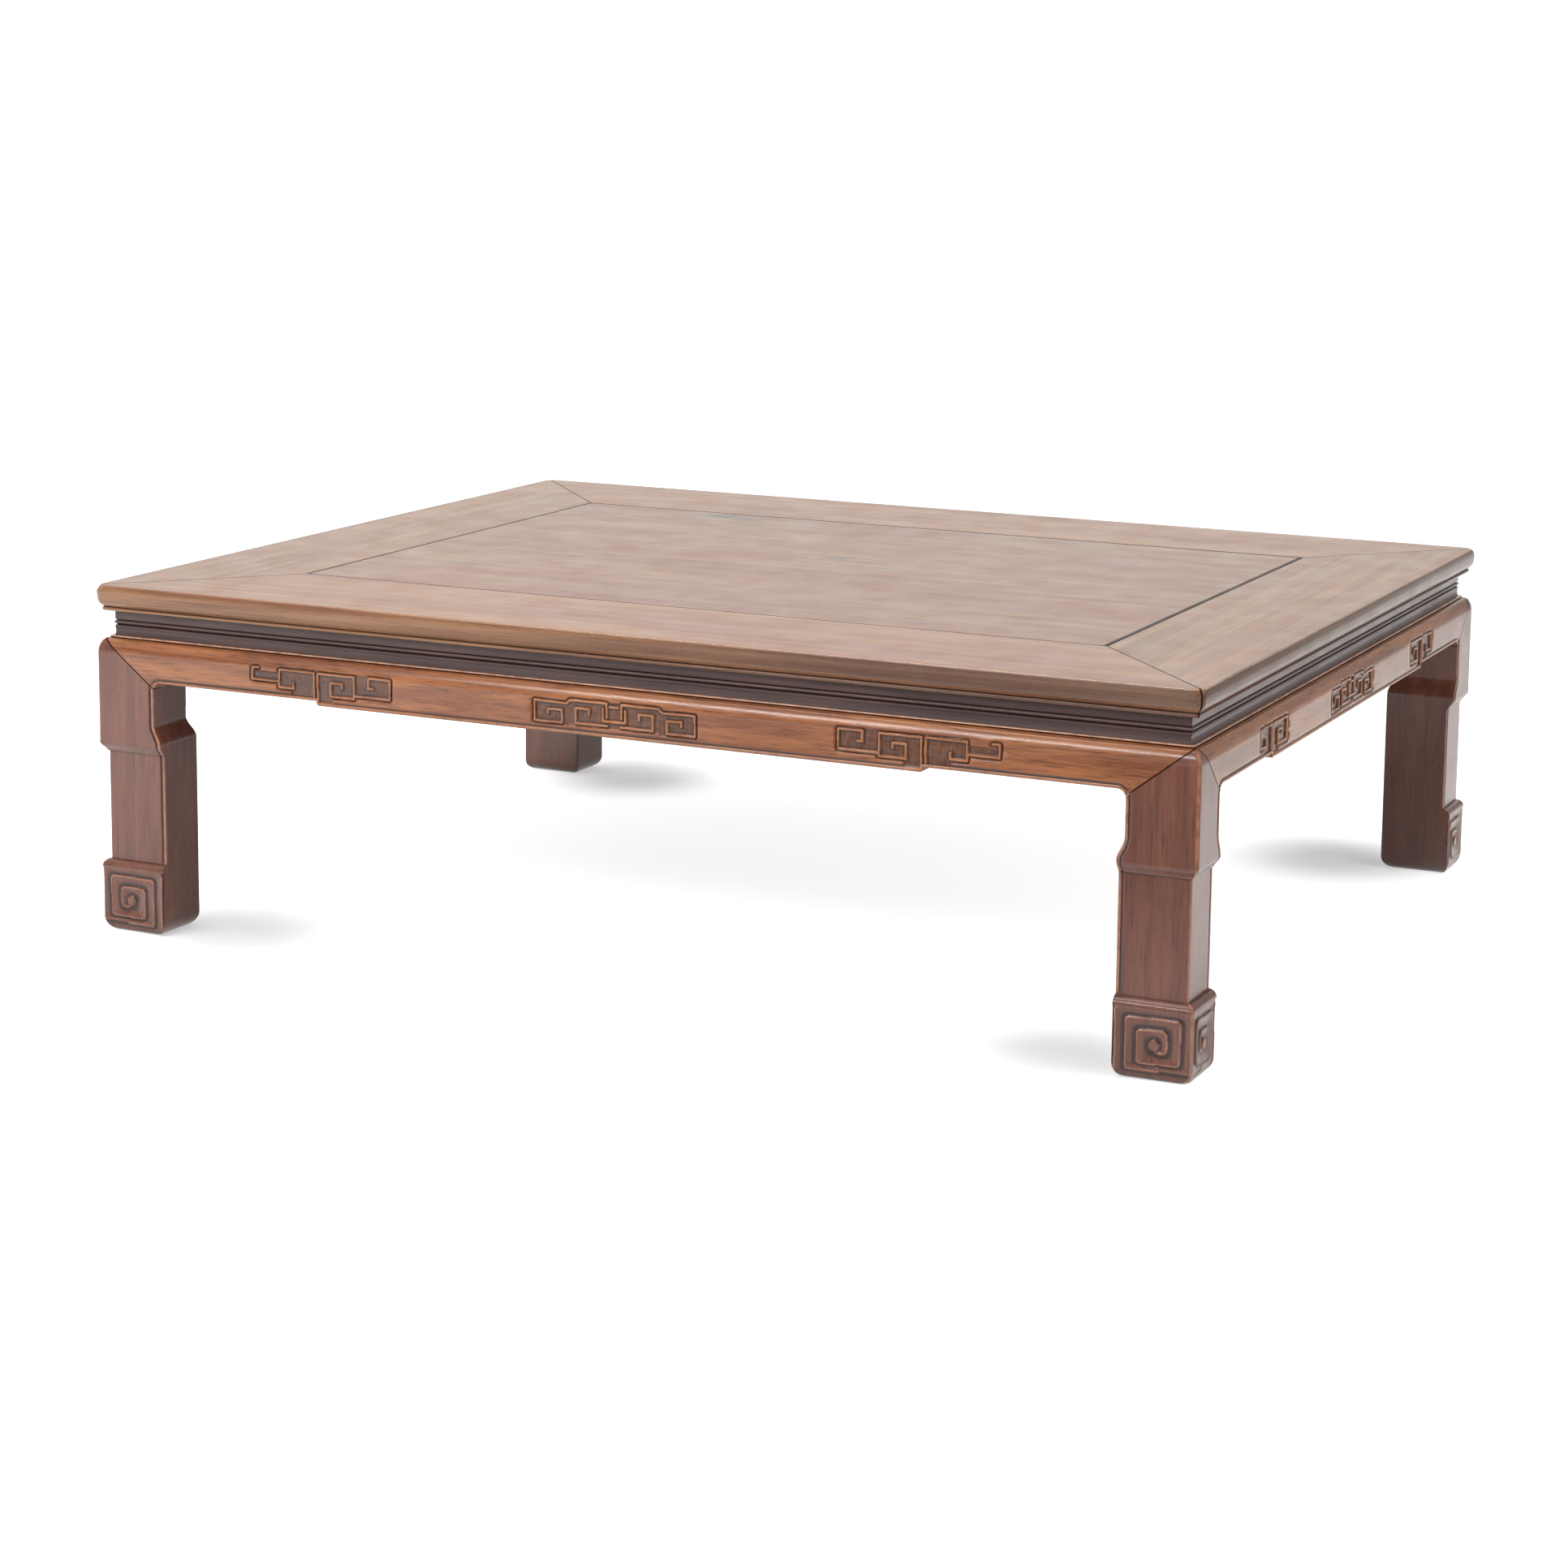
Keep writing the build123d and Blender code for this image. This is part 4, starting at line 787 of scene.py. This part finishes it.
half_turn = Matrix.Rotation(math.pi, 4, "Z")
front = carve_apron("carved_apron_front", True)
back = own_copy(front, "carved_apron_back", half_turn)
right_side = carve_apron("carved_apron_right", False)
right_side.data.transform(Matrix.Rotation(math.pi / 2, 4, "Z"))
left_side = own_copy(right_side, "carved_apron_left", half_turn)
for piece, node, finish_of in ((front, "apron_front", apron_x), (back, "apron_back", apron_x),
                               (right_side, "apron_right", apron_y), (left_side, "apron_left", apron_y)):
    dress(piece, finish_of)
    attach(piece, "root")
    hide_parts(node)

# %% [markdown]
# The frame of the top, the waist and the thin moulding under it are drawn as rings, because their
# moulded edges run round four softly rounded corners. Each ring is then cut at the mitres into
# two long members and two short ones.

# %% Moulded rings
TABLE_TOP, WEAR_LOW = 305.0, 300.5           # corners are worn rounder between these heights
MITRE_GAP = 0.1                              # each member stops this far from its mitre
NEAR_SIDE = {"front": -1, "back": 1, "right": 1, "left": -1}


def arc(centre, radius, turns):
    """(inset, height) pairs along an arc. Turn 0 points outward and 90 points up."""
    angles = [math.radians(turn) for turn in turns]
    return [(centre[0] - radius * math.cos(a), centre[1] + radius * math.sin(a)) for a in angles]


def ring_of(name, section, depths, corner, corner_wear, shade_of):
    """A closed ring round the table, as deep as its long and short members.

    Its section is (inset, height) pairs down the outer edge.
    """
    long_depth, short_depth = depths
    top, low = section[0][1], section[-1][1]
    rows = [(short_depth, long_depth, top)] + [(inset, inset, z) for inset, z in section]
    rows += [(short_depth, long_depth, low), (short_depth, long_depth, top)]
    places, shades = [], []
    for inset_x, inset_y, z in rows:
        worn = corner_wear * float(ease((z - WEAR_LOW) / (TABLE_TOP - WEAR_LOW)))
        radius = max(0.0, corner - inset_x + worn)
        for quarter, (side_x, side_y) in enumerate(((1, -1), (1, 1), (-1, 1), (-1, -1), (1, -1))):
            centre = (side_x * (HALF_LENGTH - inset_x - radius), side_y * (HALF_WIDTH - inset_y - radius))
            for step in range(9 if quarter < 4 else 1):
                a = (quarter - 1 + step / 8) * math.pi / 2
                places.append((centre[0] + radius * math.cos(a), centre[1] + radius * math.sin(a), z))
                shades.append(shade_of(inset_x, z, side_x, side_y))
    ring = shape_grid(name, np.array(places).reshape(len(rows), -1, 3))
    add_shade(ring, np.array(shades))
    outward_and_smooth()
    return ring


def cut_members(ring, members, depths):
    """Four copies of a ring, each cut at its mitres. Members are (node, finish) pairs."""
    long_depth, short_depth = depths
    for node, finish_of in members:
        long_piece = node.endswith(("front", "back"))
        member = own_copy(ring, "moulded_" + node, Matrix.Identity(4))
        bpy.ops.object.select_all(action="DESELECT")
        make_active(member)
        near = NEAR_SIDE[node.split("_")[-1]]
        for other in (-1, 1):
            side_x, side_y = (other, near) if long_piece else (near, other)
            facing = Vector((side_x * long_depth, -side_y * short_depth, 0)).normalized()
            facing *= 1 if long_piece else -1
            corner = Vector((side_x * HALF_LENGTH, side_y * HALF_WIDTH, 0)) - facing * MITRE_GAP
            cut(corner, facing)
        outward_and_smooth()
        dress(member, finish_of)
        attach(member, "root")
        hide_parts(node)
        print(member.name, len(member.data.polygons), "faces")
    bpy.data.objects.remove(ring)


print("corners are worn over", TABLE_TOP - WEAR_LOW, "mm")

# %% [markdown]
# The frame's edge is an upright band that curls under into a groove, with a small bead below.
# Its section is drawn as points and arcs, which gives each curve just the facets it needs. A
# bevel would round every edge alike, and here each has its own softness.

# %% Frame of the top
FRAME_LOW = 282.5
STILE, RAIL = 138.0, 126.0                   # widths of the long and the short members
FRAME_CORNER, CORNER_WEAR = 7.0, 7.0         # radius of a corner, and how much wear adds on top


def frame_shade(inset, z, side_x, side_y):
    """The arris is bright towards the front right corner, worn and painted as a highlight; wax lies in the
    groove.
    """
    if 5.4 < inset < 6.1:
        return -0.9
    # A painted highlight, with some wear, brightens the arris towards the front right corner.
    if TABLE_TOP - 1.0 < z < TABLE_TOP - 0.3:
        return 0.8 if side_y < 0 < side_x else 0.1
    return 0.0


frame_edge = [(14.0, TABLE_TOP), (2.7, TABLE_TOP)]
frame_edge += arc((2.2, TABLE_TOP - 1.9), 1.9, (80, 65, 50, 38, 25, 12, 0))
frame_edge += [(0.1, 300.0), (0.05, 298.2), (0.15, 296.2)]
frame_edge += arc((9.0, 294.5), 8.7, (0, -10, -20, -30, -40, -50, -58))
frame_edge += [(4.7, 286.7), (5.7, 286.4), (5.9, 285.9)]
frame_edge += arc((6.2, 284.2), 1.7, (75, 50, 25, 0, -25, -50, -75)) + [(8.0, FRAME_LOW), (12.0, FRAME_LOW)]
frame_members = (("top_stile_front", frame_long), ("top_stile_back", frame_long),
                 ("top_rail_right", frame_short), ("top_rail_left", frame_short))
frame_ring = ring_of("frame_ring", frame_edge, (STILE, RAIL), FRAME_CORNER, CORNER_WEAR, frame_shade)
cut_members(frame_ring, frame_members, (STILE, RAIL))

# %% [markdown]
# The waist is a recessed board that lifts the top off the aprons. Here it is nearly black with
# wax and cut with one bead between two grooves, and a thin roll closes it below. Both run round
# the table like the frame, so the same tools make them. The grooves are modelled, because they
# are seen from so low that a bump in the material would not darken them.

# %% Waist and thin moulding
def waist_shade(inset, z, side_x, side_y):
    """Wax fills the grooves on both sides of the bead, and its crest is a little worn."""
    if z > 269.2 and inset > 13.3:
        return -1.0
    return 0.35 if 270.5 < z < 273.2 else 0.0


def roll_shade(inset, z, side_x, side_y):
    """The roll's top is painted bright as a highlight with some wear, and the ledge behind it dark as shade.
    """
    # The ledge behind the roll is painted dark as shade.
    if inset > 10.6 and z > 260.0:
        return -1.0
    # The roll's top is painted bright as a highlight.
    return 0.8 if z > 259.6 else 0.0


waist_edge = [(12.8, FRAME_LOW), (12.8, 274.8), (12.9, 274.4), (13.9, 274.0), (13.9, 273.5)]
waist_edge += arc((13.5, 271.9), 1.4, (75, 50, 25, 0, -25, -50, -75))
waist_edge += [(13.9, 270.3), (14.0, 269.8), (13.6, 269.4), (12.9, 269.2), (12.7, 268.4), (12.75, 267.1)]
waist_edge += [(13.1, 266.8), (13.3, 264.8), (13.1, 262.6), (12.5, 260.55)]
roll_edge = [(14.0, 260.6)] + arc((9.95, 259.65), 0.95, (90, 70, 50, 30, 10, -10, -30, -50, -70, -88))
roll_edge += [(14.0, APRON_TOP)]
RING_DEPTHS = (BACK, BACK)
for name, edge, corner, shade_of, woods, slot_name in (
        ("waist", waist_edge, 13.3, waist_shade, (waist_x, waist_y), "waist_wood"),
        ("torus", roll_edge, 11.6, roll_shade, (roll_x, roll_y), "carcass_wood")):
    ring = ring_of(name + "_ring", edge, RING_DEPTHS, corner, 0.0, shade_of)
    sides = (("_front", 0), ("_back", 0), ("_right", 1), ("_left", 1))
    members = [(name + side, woods[short]) for side, short in sides]
    cut_members(ring, members, RING_DEPTHS)

# %% [markdown]
# A leg is cut from one square post: a shouldered block, a shaft set back from it, and a foot
# with a square scroll carved on its two outer faces. Its skin is a grid wrapped round the post.
# The scroll is a saw tooth: each turn stands up along its outer line and slopes down inward.

# %% Scroll on the feet
BOSS = 4.6                                   # radius of the boss in the middle of a scroll


def rounded(run, radius):
    """The same run of lines with its corners rounded."""
    soft = [run[0]]
    for before, corner, after in zip(run, run[1:], run[2:]):
        before, corner, after = (np.array(p, float) for p in (before, corner, after))
        back, ahead = before - corner, after - corner
        reach = min(radius, 0.48 * np.linalg.norm(back), 0.48 * np.linalg.norm(ahead))
        first = corner + back / np.linalg.norm(back) * reach
        last = corner + ahead / np.linalg.norm(ahead) * reach
        for t in np.linspace(0, 1, 7):
            soft.append(tuple(first * (1 - t) ** 2 + 2 * corner * t * (1 - t) + last * t ** 2))
    return soft + [run[-1]]


FRONT_SCROLL = [(4.5, 9.5), (56, 8.0), (56, 50), (10.4, 50.8), (11.2, 14.2), (46.8, 13.6), (46.6, 41.0),
                (22.0, 41.6), (20.9, 30), (21.8, 23.2), (28.0, 22.2), (32.2, 24.6)]
SIDE_SCROLL = [(4.0, 9.5), (50.3, 8.0), (50.3, 49.2), (13.4, 50.0), (13.8, 14.0), (40.6, 13.4), (41.0, 39.6),
               (22.0, 39.9), (21.4, 29), (22.0, 23.2), (26.5, 22.0), (30.0, 24.0)]
FRONT_BOSS, SIDE_BOSS = (32.2, 29.2), (30.0, 27.7)


def scroll_depth(inset, z, path, boss, width):
    """Saw-tooth relief of one scroll, and the shade of its polish."""
    wobble = 0.14 * ripple(inset, z, 34, 12)
    inset, z = inset + wobble, z + 0.7 * wobble
    turns = rounded(path, 4.2)
    border = [(1.6, 4.0), (1.4, 57.6), (width - 1.4, 57.6), (width - 1.2, 1.5), (4.0, 1.5), (1.6, 4.0)]
    border = rounded(border, 4.5)
    circle = [(boss[0] + BOSS * math.cos(a), boss[1] + BOSS * math.sin(a))
              for a in np.linspace(0, math.tau, 25)]
    above, below = np.full(np.shape(z), 40.0), np.full(np.shape(z), 40.0)
    for run in (turns, border, circle):
        for (a0, z0), (a1, z1) in zip(run, run[1:]):
            length = math.hypot(a1 - a0, z1 - z0)
            if length < 1e-6:
                continue
            da, dz = (a1 - a0) / length, (z1 - z0) / length
            along = (inset - a0) * da + (z - z0) * dz
            offset = (inset - a0) * dz - (z - z0) * da
            near = (along > -0.7) & (along < length + 0.7)
            inner = offset if run is border else -offset
            above = np.where(near & (inner >= 0), np.minimum(above, np.abs(offset)), above)
            if run is not border:
                below = np.where(near & (inner < 0), np.minimum(below, np.abs(offset)), below)
    from_boss = np.hypot(inset - boss[0], z - boss[1])
    fall = above / (above + below)
    depth = 2.3 * fall ** 0.85 * ease(above / 1.2)
    depth = np.where(from_boss < BOSS, 0.12 * from_boss / BOSS, depth)
    shade = 0.8 * (1 - ease((above - 0.3) / 2.2)) - 0.9 * ease((fall - 0.4) / 0.46)
    return depth, np.where(from_boss < BOSS, 0.2, shade)


print(len(rounded(FRONT_SCROLL, 4.2)), "points along the scroll's line")

# %% [markdown]
# A leg's outline changes on its way up, so it is written as functions of the height: how far
# the outer and the inner faces stand in, and how softly the outer corner is rounded. The rows
# of the skin lie closest on the foot and at the two steps, where the outline turns fastest.

# %% Outline of a leg
LEG_X, LEG_Y = 65.7, 55.8                    # insets of the shaft's and foot's inner faces
FOOT_TOP, SHAFT_LOW, SHAFT_HIGH, OGEE_TOP = 57.3, 63.6, 159.5, 168.0
SHAFT_FACE = 7.5                             # inset of the shaft's outer faces
SOLE, INNER_SOLE = 10.0, 12.0                # radii of the feet's rounded bottom edges


def outer_inset(z):
    """Inset of a leg's two outer faces at height z, below the shoulder."""
    z = np.asarray(z, float)
    inset = np.full(z.shape, FACE)
    sole = FACE + SOLE - np.sqrt(np.clip(SOLE ** 2 - (SOLE - z) ** 2, 0, SOLE ** 2))
    inset = np.where(z < SOLE, sole, inset)
    over_foot = FACE + SETBACK - np.sqrt(np.clip(SETBACK ** 2 - (z - FOOT_TOP) ** 2, 0, 40))
    inset = np.where((z > FOOT_TOP) & (z <= SHAFT_LOW), over_foot, inset)
    inset = np.where((z > SHAFT_LOW) & (z < SHAFT_HIGH), SHAFT_FACE, inset)
    ogee = 6.5 - 5.3 * ease((z - 158.5) / 9.5)
    return np.where((z >= SHAFT_HIGH) & (z < OGEE_TOP), ogee, inset)


def arris_radius(z):
    """Radius of a leg's outer corner: softest on the block and at the bottom of the foot."""
    z = np.asarray(z, float)
    return 1.5 + 1.7 * ease((z - 163) / 8) + 1.2 * ease((64 - z) / 2) + 4.0 * ease((11 - z) / 11)


def inner_inset(z, shaft):
    """Inset of an inner face: the shaft's, and above the swell the block's."""
    z = np.asarray(z, float)
    drop = INNER_SOLE - np.minimum(z, INNER_SOLE)
    low = shaft - INNER_SOLE + np.sqrt(np.clip(INNER_SOLE ** 2 - drop ** 2, 0, INNER_SOLE ** 2))
    return np.where(z < INNER_SOLE, low, shaft - SETBACK * ease((z - (BLOCK_LOW - SWELL)) / SWELL))


def leg_heights():
    """(outer inset, height) of each row of a leg, from the floor up."""
    rows = [INNER_SOLE - INNER_SOLE * math.cos(a) for a in np.linspace(0, math.pi / 2, 13)]
    rows += list(np.arange(12.6, FOOT_TOP, 0.62))
    rows += [FOOT_TOP + SETBACK * math.sin(a) for a in np.linspace(0, math.pi / 2, 10)]
    rows += [64.2, 65, 66.5, 70, 80, 95, 110, 125, 140, 155, 157.5]
    rows += [159.0, 159.45, 159.55] + list(np.arange(160.2, 168.01, 0.85)) + list(np.arange(169, 187.1, 1.5))
    rows += [191, 197, 203, 208] + list(np.arange(210, 226, 0.8)) + list(np.arange(227, 251.5, 2.0))
    pairs = [(float(outer_inset(z) if z < SHOULDER_LOW else shoulder(z)), z) for z in rows]
    top_of_foot = next(i for i, (_, z) in enumerate(pairs) if z > SHAFT_LOW - 0.01)
    pairs.insert(top_of_foot + 1, (SHAFT_FACE, SHAFT_LOW + 0.02))
    return pairs + shoulder_rows()


print(len(leg_heights()), "rows from the floor to the shoulder")

# %% [markdown]
# The skin is one closed tube of points: the front face with its bead and scroll, the rounded
# outer corner, the side face, and the two plain inner faces. It is capped at both ends and
# bisected along the two sloping mitres. The square post that runs on up to the frame, behind
# the aprons, is a second primitive joined to it.

# %% One leg
LEG_RISE_X, LEG_RISE_Y = 39.85, 39.9         # steeper than an apron's, so the hairline widens
POST_LOW, POST_HIGH = (19.3, 19.3, 195.0), (59.2, 49.3, FRAME_LOW)    # insets and height


def soften(values):
    """Each value averaged twice with its neighbours on the grid, as a scraper would."""
    for _ in range(2):
        for axis in (0, 1):
            ahead, behind = np.roll(values, -1, axis), np.roll(values, 1, axis)
            values = 0.5 * values + 0.25 * (ahead + behind)
    return values


def face_columns(width):
    """Fractions across a face, from its inner edge to its outer one, finer along the bead."""
    carved = np.linspace(6.6, width, int((width - 6.6) / 0.62))
    return np.concatenate([np.arange(0, 6.2, 0.45), carved]) / width


def skin_face(outer, z, shaft, jamb, half_run, step, scroll, boss):
    """(inset along the face, depth, shade) of one outer face on rows z.

    The bead ends above the foot, a painted shade lies under the step below the block, and the
    scroll is on the foot alone.
    """
    inner = inner_inset(z, shaft)
    q = face_columns(shaft - FACE - 1.5)
    along = inner[:, None] + ((outer + arris_radius(z) - inner)[:, None]) * q
    height = np.broadcast_to(z[:, None], along.shape)
    edge = line_distance(half_run - along, height, opening_edge(jamb, step))
    above_foot = ease((height - SHAFT_LOW) / 2.0)
    depth, shade = bead_depth(edge) * above_foot, bead_shade(edge) * above_foot
    # A painted shade under the step below the block.
    shadow_under_ogee = ease((height - 157.3) / 1.6) * ease((161 - height) / 1.6)
    shade = shade - 0.5 * shadow_under_ogee
    on_foot = ease((57.4 - height) / 1.5) * ease((height - 1.0) / 3.0)
    carved, carved_shade = scroll_depth(along, height, scroll, boss, shaft)
    depth = depth + soften(carved * on_foot) + 0.04 * ripple(along, height, 45, 8)
    return along, depth, shade + carved_shade * on_foot


def carve_leg():
    """The front right leg. Its columns of points are (x inset, y inset) pairs."""
    outer, z = (np.array(values) for values in zip(*leg_heights()))
    a_front, d_front, s_front = skin_face(outer, z, LEG_X, JAMB_X, HALF_LENGTH, STEP_X,
                                          FRONT_SCROLL, FRONT_BOSS)
    b_side, d_side, s_side = skin_face(outer, z, LEG_Y, JAMB_Y, HALF_WIDTH, STEP_Y,
                                       SIDE_SCROLL, SIDE_BOSS)
    inner_x, inner_y = inner_inset(z, LEG_X), inner_inset(z, LEG_Y)
    columns, shades = [], []
    edge_x, edge_y = d_front[:, -1], d_side[:, -1]
    for j in range(a_front.shape[1]):
        columns.append((a_front[:, j], outer + d_front[:, j]))
        shades.append(s_front[:, j])
    soft = arris_radius(z)
    for angle in (0.22, 0.5, 0.78, 1.06, 1.34):
        columns.append((outer + soft - (soft - edge_y) * math.sin(angle),
                        outer + soft - (soft - edge_x) * math.cos(angle)))
        shades.append(np.full(z.shape, 0.8 if 0.4 < angle < 1.2 else 0.3))
    for j in reversed(range(b_side.shape[1])):
        columns.append((outer + d_side[:, j], b_side[:, j]))
        shades.append(s_side[:, j])
    for q in (0.02, 0.3, 0.6, 0.85, 0.98):
        columns.append((outer + (inner_x - outer) * q, inner_y))
        shades.append(np.zeros(z.shape))
    for q in (0.98, 0.85, 0.6, 0.3, 0.02):
        columns.append((inner_x, outer + (inner_y - outer) * q))
        shades.append(np.zeros(z.shape))
    columns.append(columns[0])
    shades.append(shades[0])
    a = np.stack([column[0] for column in columns], axis=1)
    b = np.stack([column[1] for column in columns], axis=1)
    places = np.stack([HALF_LENGTH - a, b - HALF_WIDTH, np.broadcast_to(z[:, None], a.shape)], axis=-1)
    leg = shape_grid("carved_leg_front_right", places)
    add_shade(leg, np.clip(np.stack(shades, axis=1), -1, 1))
    edit_all()
    bpy.ops.mesh.remove_doubles(threshold=MERGE)
    bpy.ops.mesh.select_all(action="DESELECT")
    bpy.ops.mesh.select_non_manifold()
    bpy.ops.mesh.edge_face_add()
    bpy.ops.object.mode_set(mode="OBJECT")
    corner = (HALF_LENGTH - MEETING, MEETING - HALF_WIDTH, APRON_TOP - HAIRLINE)
    cut(corner, (-LEG_RISE_X, 0, MITRE_RUNS[0]))
    cut(corner, (0, LEG_RISE_Y, MITRE_RUNS[1]))
    outward_and_smooth()
    bpy.ops.object.select_all(action="DESELECT")
    bpy.ops.mesh.primitive_cube_add(size=1)
    post = bpy.context.object
    for vertex in post.data.vertices:
        x, y, height = (POST_LOW[i] if vertex.co[i] < 0 else POST_HIGH[i] for i in range(3))
        vertex.co = ((HALF_LENGTH - x) * MM, (y - HALF_WIDTH) * MM, height * MM)
    outward_and_smooth()
    make_active(leg)
    bpy.ops.object.join()
    return leg


first_leg = carve_leg()
print("one leg has", len(first_leg.data.polygons), "faces")

# %% [markdown]
# The four legs mirror each other, so the other three are copies whose meshes are mirrored.
# Mirrored along one axis a mesh is inside out, so its faces are flipped. Along both axes it is
# only turned, and stays right.

# %% Four legs
legs = {"leg_front_right": first_leg}
for node, flip_x, flip_y in (("leg_front_left", -1, 1), ("leg_back_right", 1, -1), ("leg_back_left", -1, -1)):
    legs[node] = own_copy(first_leg, "carved_" + node, Matrix.Diagonal((flip_x, flip_y, 1, 1)))
    if flip_x * flip_y < 0:
        legs[node].data.flip_normals()
for node, leg in legs.items():
    dress(leg, leg_wood)
    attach(leg, "root")
    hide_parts(node)
    print(node, len(leg.data.polygons), "faces")
